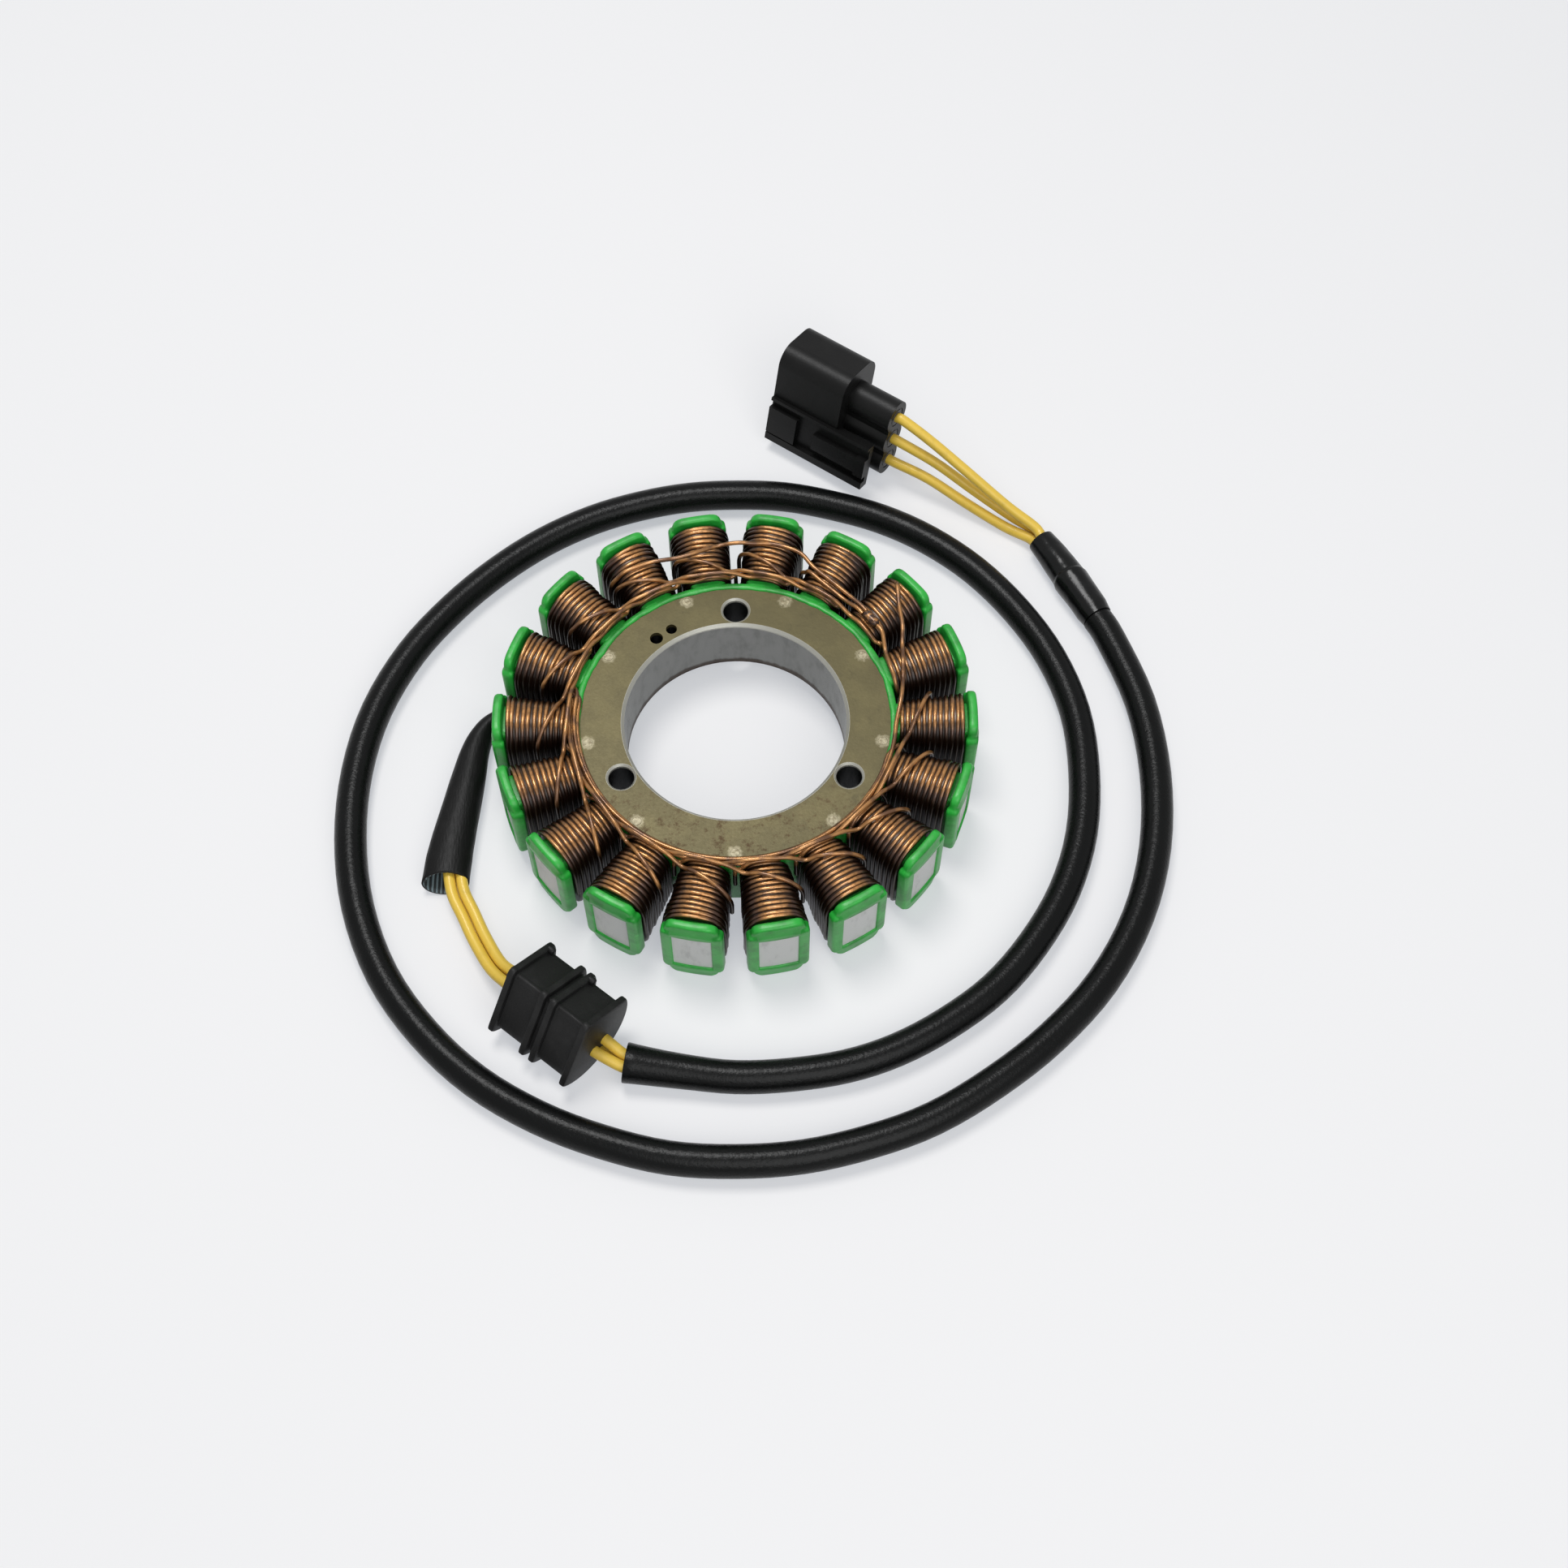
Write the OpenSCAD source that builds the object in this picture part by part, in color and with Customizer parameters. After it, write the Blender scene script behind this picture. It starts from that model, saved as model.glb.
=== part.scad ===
// Wound three-phase stator with its lead harness, in millimetres.
// The bore's axis is Z, a bolt hole lies on +Y and the stator rests on the plane z = 0.

/* [Core] */
// Number of poles
pole_count = 18; // [12:6:18]
// Diameter over the coated pole faces
stator_d = 120; // [116:0.5:132]
// Diameter of the bore that seats on the cover's boss
bore_d = 55; // [46:0.5:56]
// Outer diameter of the steel ring that carries the teeth
yoke_d = 79; // [77:0.5:82]
// Height of the core with both end plates
stack_h = 18; // [12:0.5:26]
// Width of a steel tooth
tooth_w = 8; // [6:0.25:8.5]
// Thickness of an end plate and of its bent tips
end_plate_t = 1.2; // [0.8:0.1:1.4]
// Inner radius of the bend at a tip
tip_bend_r = 0.8; // [0.5:0.1:1]

/* [Pole faces] */
// Width of a coated pole shoe
shoe_w = 15; // [13:0.25:15.5]
// Radial thickness of a coated pole shoe
shoe_t = 3; // [2.8:0.1:3.6]
// Width of a coated pole tip
tip_w = 12; // [11:0.25:13]
// How far the tips stand past the windings
tip_stand = 0.15; // [0.1:0.05:2]
// Width of the bare steel window in a pole face
window_w = 9.5; // [6:0.25:11]
// Height of the bare steel window
window_h = 15.3; // [10:0.1:16]
// Thickness of the green coating
coat_t = 0.5; // [0.4:0.05:0.6]
// Radial width of the coated band on the ring's rim
rim_band = 1.2; // [0.8:0.1:2]

/* [Mounting] */
// Number of bolt holes
bolt_count = 3; // [2:1:6]
// Diameter of a bolt hole, clearance for M6
bolt_d = 6.4; // [5.5:0.1:7]
// Diameter of the circle through the bolt holes
bolt_pcd = 64; // [62:0.25:66]
// Chamfer at a bolt hole
bolt_chamfer = 0.5; // [0.2:0.1:0.8]
// Chamfer at the rims of the bore
bore_chamfer = 0.7; // [0.3:0.1:1]
// Diameter of a core rivet
rivet_d = 2.2; // [1.8:0.1:2.4]
// Radius of the circle through the rivets
rivet_r = 36.75; // [36:0.05:37]
// Diameters of the two indexing holes
index_d = [3.3, 2.8]; // [2:0.1:3.6]
// Angles of the two indexing holes
index_angle = [130, 121.5]; // [115:0.5:150]
// Radius of the circle through the indexing holes
index_r = 31; // [30.5:0.1:32.5]

/* [Winding] */
// Diameter of the copper wire
wire_d = 1.1; // [0.9:0.05:1.2]
// Gap between the ring's coating and a coil
root_gap = 1; // [0.9:0.05:1.5]
// Gap between neighbouring coils at the ring
root_slot = 2; // [1.8:0.1:2.6]
// Gap between neighbouring coils at the pole faces
mouth_slot = 3.8; // [3:0.1:5]
// Clearance of a loose wire over the turns
wire_gap = 0.2; // [0.15:0.05:0.3]

/* [Grommet] */
// Length of the grommet over its outer flanges
grommet_len = 24; // [22:0.5:30]
// Radius of the round side of a flange
flange_r = 13; // [12.5:0.1:14]
// Thickness of a flange
flange_t = 1.8; // [1.4:0.1:2.2]
// Width of the slit between the two middle flanges
slit_w = 1.2; // [0.8:0.1:2]
// Depth of the grooves between the flanges
groove_depth = 1.6; // [1:0.1:2]
// Distance of the steep flat from the grommet's axis
steep_flat = 5.5; // [5:0.1:7]
// Distance of the gentle flat from the grommet's axis
gentle_flat = 7.8; // [7:0.1:9]

/* [Connector] */
// Length of the hood over the blades
hood_len = 20.5; // [18:0.5:26]
// Height of the hood along the row of blades
hood_h = 30; // [29:0.5:34]
// Thickness of the hood
hood_w = 16.5; // [16:0.25:20]
// Wall of the hood
hood_wall = 1.7; // [1.4:0.1:2]
// Length of the barrel block behind the hood
barrel_len = 13; // [11:0.5:16]
// Outer diameter of a wire barrel
barrel_d = 9; // [8.4:0.1:9.6]
// Distance between neighbouring blades
blade_pitch = 7.4; // [7:0.1:7.8]
// Width and thickness of a blade
blade = [6.3, 0.8]; // [0.6:0.1:7]
// How far the housing leans back
lean = 13; // [5:1:20]

/* [Harness] */
// Outer diameter of a lead
lead_d = 2.8; // [2.4:0.1:2.9]
// Outer diameter of the sheath
sheath_d = 8; // [7.6:0.1:8.4]
// Wall of the fibre sleeve
sleeve_wall = 0.7; // [0.5:0.05:0.8]
// Diameter of a crimp splice
splice_d = 2.7; // [2.2:0.1:2.8]

/* [Hidden] */
$fn = 48;
// Overshoot of a cut past the faces that it opens
over = 1;
// Clearance of a push fit
fit = 0.05;

// Core
pitch = 360 / pole_count;
face_r = stator_d / 2;
steel_r = face_r - coat_t;
shoe_in_r = face_r - shoe_t;
yoke_r = yoke_d / 2;
wall_r = yoke_r + coat_t;
rim_in_r = yoke_r - rim_band;
rivet_count = pole_count / 2;

// Windings: their build-up grows from the ring to the pole face
coil_in = wall_r + root_gap;
coil_out = sqrt(pow(shoe_in_r, 2) - pow(shoe_w / 2, 2)) - 0.2;
coil_len = coil_out - coil_in;
half_w = tooth_w / 2 + coat_t + fit;
half_h = stack_h / 2 + coat_t + fit;
lay_in = coil_in * tan(pitch / 2) - half_w - root_slot / 2;
lay_out = coil_out * tan(pitch / 2) - half_w - mouth_slot / 2;
turns = round(coil_len / wire_d);
turn_step = coil_len / turns;
turn_r = turn_step / 2;
// Facets of a turn's half round
turn_facets = 4;
// How far the turns' round corners reach in past the tooth's corners
corner_in = floor(10 * min(1.2 * lay_in, 0.45 * half_w)) / 10;

// Heights
mid_z = half_h + lay_out + tip_stand;
stator_h = 2 * mid_z;
stack_top = mid_z + stack_h / 2;
stack_low = mid_z - stack_h / 2;
edge_r = 0.4 * shoe_t;
edge_facets = 4;
tip_corner_r = 2;
tip_chamfer = 1.4;

// Height of the windings' upper face at a distance x from the axis
function lay_at(x) = lay_in + (lay_out - lay_in) * (x - coil_in) / coil_len;
function crest_z(x) = mid_z + half_h + lay_at(x);
// Height at which a wire clears the coil nearest to the angle a at the radius r
function over_coils(a, r) = let (
    off = a - pitch * round(a / pitch),
    reach = lay_at(max(r * cos(off), coil_in)) + wire_ride,
    past = max(abs(r * sin(off)) - half_w, 0)
) mid_z + half_h + sqrt(max(reach * reach - past * past, 0));

// Loose wires: the jumpers lie on the coils' inner ends, the tails on the ring's rim
wire_ride = wire_d / 2 + wire_gap;
lane_r = wall_r + 0.75 * wire_d;
lane_z = mid_z + half_h + lay_in + wire_ride;
rim_z = stack_top + coat_t + wire_d / 2 + fit;
drop_r = wall_r + wire_d / 2 + 2 * fit;
tail_r = [wall_r + 0.18 * wire_d, wall_r - wire_d, wall_r - 0.41 * wire_d];
tail_z = [rim_z, rim_z, rim_z + 1.05 * wire_d];

// Lead exit between the coils on the left
exit_angle = 170;

// Grommet: axis, and its place on the floor
grommet_at = [-52, -66];
grommet_angle = -38.7;
grommet_z = flange_r + 0.05;
steep_angle = 147;
gentle_angle = 60;
ridge_r = 4;
// Nubs beside two of the flanges
nub_angle = 9;
nub_d = 1.8;
nub_len = 1.2;

// Three leads as a bundle: sideways and upward place of each
lane = [[1.5, 1.15], [-1.5, 1.15], [0, -1.55]];
// Spread of the bundle where it passes the grommet
hole_spread = 1.25;
hole_at = [2, -7.2];

// Connector
connector_at = [8.3, 101.9];
connector_angle = -34.9;
row_y = hood_w / 2;
row_z = 6.4;
hood_corner_r = 5;
foot_corner_r = 2;
connector_z = (hood_w - foot_corner_r) * sin(lean) + foot_corner_r * (1 - cos(lean)) + fit;
rear_x = hood_len + barrel_len;
socket_floor = 3;
seal_len = 4;
latch_stand = 1.5;

// Fibre sleeve: points of its centre line, with the width and height of its oval
sleeve_route = [
    [-56.6, 10, 4.1], [-59.2, 10.4, 4.1], [-62.2, 9.6, 4.1], [-65, 5.8, 4.1], [-66.6, 0.5, 4.1],
    [-67.6, -6, 4.1], [-69, -15, 4.1], [-70.3, -23, 4.1], [-71, -29, 4.1], [-71.4, -33.5, 4]
];
sleeve_size = [
    [4.6, 8], [4.8, 8], [4.8, 8], [6, 8], [7.4, 8], [8.6, 8], [9.8, 8], [10.8, 8], [11.4, 7.9], [11.8, 7.8]
];

// Splices: start and end of their centre line
splice_from = [-68.9, -14.3, 4.1];
splice_to = [-70, -21, 4.1];

// Leads: centre line of the bundle from the splices to the grommet
lead_route = [
    [-70.1, -21.6, 4.1], [-70.9, -28, 4.1], [-71, -33, 4], [-69.6, -38.5, 3.4], [-66.4, -44, 3.1],
    [-62, -51, 3.1], [-57.4, -58.6, 4.2]
];

// Sheath: centre line on the floor, from the grommet to the wrap, two turns
sheath_route = [
    [-26, -83], [-13, -85], [0, -86.5], [13, -86], [26, -84], [38, -80], [50, -73.5], [62, -64.5],
    [72, -53], [80.5, -39], [86, -23], [88, -5.5], [87, 12], [82, 28.5], [74, 43], [63.5, 56],
    [51.5, 66], [39, 73], [26, 77.5], [13, 80.5], [0, 81.2], [-13, 80.5], [-26, 77.8], [-39, 73.2],
    [-52, 66], [-64, 56.5], [-75, 45], [-85, 31], [-92.5, 14], [-96, -4], [-96, -23], [-92.5, -42],
    [-85, -60], [-74, -75], [-61, -87], [-46, -96], [-31, -102], [-15.5, -106], [0, -107],
    [15.5, -106], [31, -102.5], [46, -97], [61, -88], [75, -77], [88, -63], [98, -46], [104, -27],
    [106, -6], [104, 15], [98, 34], [95, 40.5]
];

// Wrap: centre line from the sheath's end to the leads, with its diameters
wrap_route = [[94.9, 40.7, 4.5], [92, 46.5, 4.5], [88.7, 52.8, 4.6], [85, 59.5, 4.6], [81.8, 65.2, 4.5]];
wrap_d = [8.6, 8.6, 9, 7.6, 7];

// Leads from the wrap to the connector: middle points of each, the row's lowest first
tail_route = [
    [[80.4, 64.7, 3.5], [78.8, 67.2, 3], [72.5, 71.4, 2.4], [62, 78, 4.4], [52, 84.2, 7]],
    [[82.9, 66.1, 3.5], [81, 69.2, 3.2], [74, 74, 4], [64, 79.6, 8], [54, 85.2, 12.4]],
    [[81.7, 65.4, 6], [80, 68.3, 6.6], [72.5, 73.6, 10], [62, 80.6, 16], [52.5, 87, 20.5]]
];

LEAD_NODES = ["lead_1", "lead_2", "lead_3"];
TAIL_NODES = ["connector_lead_1", "connector_lead_2", "connector_lead_3"];
JUMPER_NODES = ["phase_a_jumpers", "phase_b_jumpers", "phase_c_jumpers"];
PHASE_TAIL_NODES = ["phase_a_tail", "phase_b_tail", "phase_c_tail"];
function coil_name(k) = str("coil_", k < 10 ? "0" : "", k);
COIL_NODES = [for (k = [1 : pole_count]) coil_name(k)];

// Vectors and swept tubes

function unit(v) = v / norm(v);
function polar(a, r, z) = [r * cos(a), r * sin(a), z];

// Point at t, 0 to 1, between b and c on a smooth curve through a, b, c and d
function between(a, b, c, d, t) = 0.5 * (2 * b + (c - a) * t + (2 * a - 5 * b + 4 * c - d) * t * t
    + (3 * b - a - 3 * c + d) * t * t * t);

// Smooth curve through points p with n steps between neighbours
function smooth(p, n) = let (last = len(p) - 1) concat(
    [for (i = [0 : last - 1], j = [0 : n - 1])
        between(p[max(i - 1, 0)], p[i], p[i + 1], p[min(i + 2, last)], j / n)],
    [p[last]]
);

function tangents(p) = let (last = len(p) - 1)
    [for (i = [0 : last]) unit(p[min(i + 1, last)] - p[max(i - 1, 0)])];

// Normals carried along the tangents t without twist, from the normal u
function carried(t, u, i = 0) = i == len(t) ? [] :
    let (n = unit(u - (u * t[i]) * t[i])) concat([n], carried(t, n, i + 1));

// Leftward directions of a route that runs level
function leftward(t) = [for (v = t) unit(cross([0, 0, 1], v))];

// Ring of points round p in the plane of u and v, with half-axes a and b
function ring(p, u, v, a, b, sides) = [for (j = [0 : sides - 1])
    let (w = 360 * (j + 0.5) / sides) p + a * cos(w) * u + b * sin(w) * v];

// Quads between count rings of points, facing out, or in where inside is true
function wall_faces(count, sides, first = 0, inside = false) = [
    for (i = [0 : count - 2], j = [0 : sides - 1])
    let (a = first + i * sides + j, b = first + i * sides + (j + 1) % sides)
    inside ? [a, b, b + sides, a + sides] : [a, a + sides, b + sides, b]
];

// Solid tube along the points p, with one diameter for each point
module tube(p, d, sides) {
    count = len(p);
    t = tangents(p);
    u = carried(t, abs(t[0].z) < 0.8 ? [0, 0, 1] : [t[0].y, -t[0].x, 0.1]);
    points = [for (i = [0 : count - 1])
        each ring(p[i], u[i], cross(t[i], u[i]), d[i] / 2, d[i] / 2, sides)];
    caps = [
        [for (j = [0 : sides - 1]) j],
        [for (j = [sides - 1 : -1 : 0]) (count - 1) * sides + j]
    ];
    polyhedron(points, concat(caps, wall_faces(count, sides)));
}

// Open oval hose along the points p, with a width and a height for each point
module hose(p, size, wall, sides) {
    count = len(p);
    t = tangents(p);
    u = leftward(t);
    function skin(cut) = [for (i = [0 : count - 1])
        each ring(p[i], u[i], cross(t[i], u[i]), size[i].x / 2 - cut, size[i].y / 2 - cut, sides)];
    shift = count * sides;
    tail = (count - 1) * sides;
    rims = [for (j = [0 : sides - 1]) let (k = (j + 1) % sides) each [
        [j, k, shift + k, shift + j],
        [tail + k, tail + j, tail + shift + j, tail + shift + k]
    ]];
    polyhedron(
        concat(skin(0), skin(wall)),
        concat(rims, wall_faces(count, sides), wall_faces(count, sides, shift, true))
    );
}

// Patterns of the core

module each_pole() {
    for (k = [1 : pole_count]) rotate(k * pitch) children();
}

module at_bolts() {
    for (k = [0 : bolt_count - 1])
        rotate(90 + k * 360 / bolt_count) translate([bolt_pcd / 2, 0]) children();
}

module at_rivets() {
    for (k = [0 : rivet_count - 1]) rotate(-90 + 2 * k * pitch) translate([rivet_r, 0]) children();
}

// Outline shared by every sheet of the core: the ring with its holes and the teeth out to tooth_end
module sheet_outline(tooth_end) {
    difference() {
        union() {
            circle(yoke_r);
            each_pole() translate([bore_d / 2 + over, -tooth_w / 2])
                square([tooth_end - bore_d / 2 - over, tooth_w]);
        }
        circle(d = bore_d);
        at_bolts() circle(d = bolt_d);
        at_rivets() circle(d = rivet_d + 2 * fit);
        for (k = [0, 1]) rotate(index_angle[k]) translate([index_r, 0]) circle(d = index_d[k]);
    }
}

// Steel pole shoe of a sheet
module shoe_outline() {
    intersection() {
        difference() {
            circle(steel_r);
            circle(shoe_in_r + coat_t);
        }
        translate([shoe_in_r - over, -shoe_w / 2 + coat_t])
            square([shoe_t + 2 * over, shoe_w - 2 * coat_t]);
    }
}

module lamination_stack() {
    color("lightslategray") translate([0, 0, mid_z - stack_h / 2 + end_plate_t])
        linear_extrude(stack_h - 2 * end_plate_t) union() {
            sheet_outline(shoe_in_r + coat_t + shoe_t / 4);
            each_pole() shoe_outline();
        }
}

// Tip bent up from an end plate whose outer face is the plane z = 0
module bent_tip() {
    tip_x = shoe_in_r + coat_t + 2 * fit;
    tip_top = stator_h - stack_top - 1.4 * coat_t;
    tip_steel_w = tip_w - 4 * coat_t;
    translate([tip_x - tip_bend_r, 0, tip_bend_r]) rotate([90, 0, 0]) rotate(-90)
        rotate_extrude(angle = 90) translate([tip_bend_r, -tooth_w / 2]) square([end_plate_t, tooth_w]);
    translate([tip_x, -tip_steel_w / 2, tip_bend_r])
        cube([end_plate_t, tip_steel_w, tip_top - tip_bend_r]);
}

// End plate with its outer face up, at the height of the upper one
module end_plate() {
    bend_x = shoe_in_r + coat_t + 2 * fit - tip_bend_r;
    translate([0, 0, stack_top]) {
        difference() {
            translate([0, 0, -end_plate_t]) linear_extrude(end_plate_t) sheet_outline(bend_x);
            translate([0, 0, -bore_chamfer])
                cylinder(h = 2 * bore_chamfer, r1 = bore_d / 2, r2 = bore_d / 2 + 2 * bore_chamfer);
            at_bolts() translate([0, 0, -bolt_chamfer])
                cylinder(h = 2 * bolt_chamfer, r1 = bolt_d / 2, r2 = bolt_d / 2 + 2 * bolt_chamfer);
        }
        each_pole() bent_tip();
    }
}

module upper_end_plate() {
    color("darkkhaki") end_plate();
}

module lower_end_plate() {
    color("darkkhaki") translate([0, 0, stator_h]) mirror([0, 0, 1]) end_plate();
}

module core_rivets() {
    color("silver") translate([0, 0, mid_z - stack_h / 2]) at_rivets() cylinder(h = stack_h, d = rivet_d);
}

// Points of a quarter round about c from the angle a, n facets
function quarter(c, r, a, n) = [for (i = [0 : n]) c + r * [cos(a + 90 * i / n), sin(a + 90 * i / n)]];

// Face of a pole seen from outside: the wide shoe and the narrower tips above and below it
module face_outline() {
    half_shoe = stack_h / 2 + coat_t;
    half_tip = tip_w / 2;
    polygon(concat(
        [[tip_chamfer - half_tip, -mid_z], [half_tip - tip_chamfer, -mid_z]],
        [[half_tip, tip_chamfer - mid_z], [half_tip, -half_shoe]],
        [[shoe_w / 2, -half_shoe], [shoe_w / 2, half_shoe], [half_tip, half_shoe]],
        quarter([half_tip - tip_corner_r, mid_z - tip_corner_r], tip_corner_r, 0, edge_facets),
        quarter([tip_corner_r - half_tip, mid_z - tip_corner_r], tip_corner_r, 90, edge_facets),
        [[-half_tip, half_shoe], [-shoe_w / 2, half_shoe], [-shoe_w / 2, -half_shoe]],
        [[-half_tip, -half_shoe], [-half_tip, tip_chamfer - mid_z]]
    ));
}

// Section of a coated pole face, rounded above and below
module shoe_section() {
    x1 = shoe_in_r + edge_r;
    x2 = face_r - edge_r;
    z2 = stator_h - edge_r;
    polygon(concat(
        quarter([x2, z2], edge_r, 0, edge_facets), quarter([x1, z2], edge_r, 90, edge_facets),
        quarter([x1, edge_r], edge_r, 180, edge_facets), quarter([x2, edge_r], edge_r, 270, edge_facets)
    ));
}

module coated_shoe() {
    intersection() {
        rotate(-pitch / 2) rotate_extrude(angle = pitch) shoe_section();
        translate([shoe_in_r - shoe_t, 0, mid_z]) rotate([90, 0, 90])
            linear_extrude(3 * shoe_t) face_outline();
    }
}

module coated_tooth() {
    sleeve_x = yoke_r - coat_t / 10;
    translate([sleeve_x, -tooth_w / 2 - coat_t, stack_low - coat_t])
        cube([shoe_in_r + coat_t - sleeve_x, tooth_w + 2 * coat_t, stack_h + 2 * coat_t]);
}

// Steel of one pole, which the coating leaves free
module pole_steel() {
    lam_low = stack_low + end_plate_t;
    lam_h = stack_h - 2 * end_plate_t;
    bend_x = shoe_in_r + coat_t + 2 * fit - tip_bend_r;
    translate([yoke_r - 2, -tooth_w / 2, stack_low]) cube([bend_x - yoke_r + 2, tooth_w, stack_h]);
    translate([yoke_r, -tooth_w / 2, lam_low])
        cube([shoe_in_r + coat_t + shoe_t / 4 - yoke_r, tooth_w, lam_h]);
    translate([0, 0, lam_low]) linear_extrude(lam_h) shoe_outline();
    translate([0, 0, stack_top]) bent_tip();
    translate([0, 0, stack_low]) mirror([0, 0, 1]) bent_tip();
}

module face_window() {
    translate([steel_r - coat_t / 2, -window_w / 2, mid_z - window_h / 2])
        cube([2 * coat_t, window_w, window_h]);
}

module coated_pole() {
    difference() {
        union() {
            coated_shoe();
            coated_tooth();
        }
        pole_steel();
        face_window();
    }
}

// Coating on the ring's outer wall, with a band over both rims
module coated_rim() {
    low = stack_low - coat_t;
    high = stack_top + coat_t;
    bevel = 0.8 * coat_t;
    difference() {
        rotate_extrude() polygon([
            [rim_in_r, high - bevel], [rim_in_r, stack_top], [yoke_r, stack_top], [yoke_r, stack_low],
            [rim_in_r, stack_low], [rim_in_r, low + bevel], [rim_in_r + bevel, low], [wall_r - bevel, low],
            [wall_r, low + bevel], [wall_r, high - bevel], [wall_r - bevel, high], [rim_in_r + bevel, high]
        ]);
        each_pole() translate([yoke_r - 2, -tooth_w / 2 - fit, stack_low - fit])
            cube([4, tooth_w + 2 * fit, stack_h + 2 * fit]);
    }
}

module green_coating() {
    color("forestgreen") union() {
        coated_rim();
        each_pole() coated_pole();
    }
}

// Windings

// Section through the turns on one side of a tooth: x is the build-up from the corners' centres,
// y runs from the face to the ring
module turns_section() {
    polygon(concat(
        [[0, 0]],
        [for (i = [0 : turns - 1], j = [0 : turn_facets]) if (i == 0 || j > 0)
            let (y = (i + 0.5) * turn_step, a = -90 + 180 * j / turn_facets)
            [corner_in + lay_at(coil_out - y) + turn_r * (cos(a) - 1), y + turn_r * sin(a)]],
        [[0, coil_len]]
    ));
}

// Straight run of the turns along a tooth's side, from -half_run to half_run
module straight_run(half_run, offset_y) {
    translate([coil_out, offset_y, -half_run]) rotate(90) linear_extrude(2 * half_run) turns_section();
}

module corner_run() {
    translate([coil_out, 0, 0]) rotate([0, -90, 0]) rotate_extrude(angle = 90) turns_section();
}

module winding() {
    run_w = half_w - corner_in;
    run_h = half_h - corner_in;
    difference() {
        union() {
            for (turn = [0, 180]) rotate([turn, 0, 0]) straight_run(run_h, run_w);
            for (turn = [90, 270]) rotate([turn, 0, 0]) straight_run(run_w, run_h);
            for (q = [0 : 3]) let (side = q == 0 || q == 3 ? 1 : -1, rise = q < 2 ? 1 : -1)
                translate([0, side * run_w, rise * run_h]) rotate([90 * q, 0, 0]) corner_run();
        }
        translate([coil_in - over, -half_w, -half_h])
            cube([coil_len + 2 * over, 2 * half_w, 2 * half_h]);
    }
}

module coil(k) {
    color("peru") rotate(k * pitch) translate([0, 0, mid_z]) winding();
}

// Points that lie on the coil nearest to the angle a, or at the height of the coils' tops, raised by lift
function on_coil(a, r, lift = 0) = polar(a, r, over_coils(a, r) + lift);
function on_tops(a, r, lift = 0) = polar(a, r, crest_z(r) + wire_ride + lift);

// Jumper from coil k to the third coil on: it rises beside coil k, follows the ring for a pitch, climbs
// over the next jumper, leaves the ring in a straight line and dips into the slot past its coil
leave_at = 1.75 * pitch;
function jumper_r(a) = lane_r / cos(a - leave_at);
jumper_route = concat(
    [
        polar(0.5 * pitch, coil_in + 1.6, stack_top - 5),
        polar(0.5 * pitch, coil_in + 1.4, stack_top - 1.2),
        polar(0.515 * pitch, coil_in + 1, mid_z + half_h + 0.45),
        on_coil(0.6 * pitch, coil_in + 0.4, 0.1),
        on_coil(0.75 * pitch, lane_r),
        on_coil(pitch, lane_r, -0.2),
        on_coil(1.25 * pitch, lane_r, -0.2)
    ],
    [for (m = [[1.5, 0.42], [1.65, 0.98], [1.8, 1.14], [2, 1.1], [2.2, 0.75], [2.4, 0.35]])
        polar(m[0] * pitch, jumper_r(max(m[0] * pitch, leave_at)), lane_z + m[1] * wire_d)],
    [for (m = [2.65, 2.85, 3.05, 3.25, 3.36]) on_coil(m * pitch, jumper_r(m * pitch))],
    [
        on_coil(3.44 * pitch, jumper_r(3.43 * pitch), 0.1),
        polar(3.5 * pitch, jumper_r(3.45 * pitch), stack_top - 0.5),
        polar(3.5 * pitch, jumper_r(3.45 * pitch), stack_top - 5)
    ]
);

module jumpers(phase) {
    for (k = [phase + 1 : 3 : pole_count - 3])
        color("chocolate") rotate(k * pitch) tube(jumper_route, [for (p = jumper_route) wire_d], 6);
}

// Start of a phase's tail: out of the slot past its last coil and over the rim, or for the last phase
// from the outer end of the second coil in a straight line to the rim
function tail_lane_from(phase) = phase == 2 ? pole_count * pitch - 0.2 * pitch
    : (pole_count - 1.8 + phase) * pitch;
function tail_start(phase) = phase == 2 ? [
    polar(2.5 * pitch, coil_out - 1.1, stack_top - 4),
    polar(2.48 * pitch, coil_out - 1.1, mid_z + half_h + 0.3),
    on_coil(2.375 * pitch, coil_out - 0.8, 0.1),
    on_coil(2.18 * pitch, coil_out - 1),
    on_coil(2 * pitch, coil_out - 2.7),
    on_coil(1.83 * pitch, coil_out - 4.9),
    on_tops(1.52 * pitch, coil_in + 7.6),
    on_coil(1.27 * pitch, coil_in + 5.2),
    on_coil(0.98 * pitch, coil_in + 3.3),
    on_coil(0.7 * pitch, coil_in + 1.9, 0.15),
    polar(0.5 * pitch, coil_in + 1, lane_z),
    polar(0.25 * pitch, coil_in - 0.05, lane_z),
    polar(0.05 * pitch, coil_in - 0.8, tail_z[2] + 0.15)
] : let (a = (pole_count - 1.5 + phase) * pitch) [
    polar(a, coil_in + 1.6, mid_z + 3),
    polar(a, coil_in + 0.9, stack_top - 2.5),
    polar(a - 0.08 * pitch, drop_r, rim_z - 0.1)
];

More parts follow.
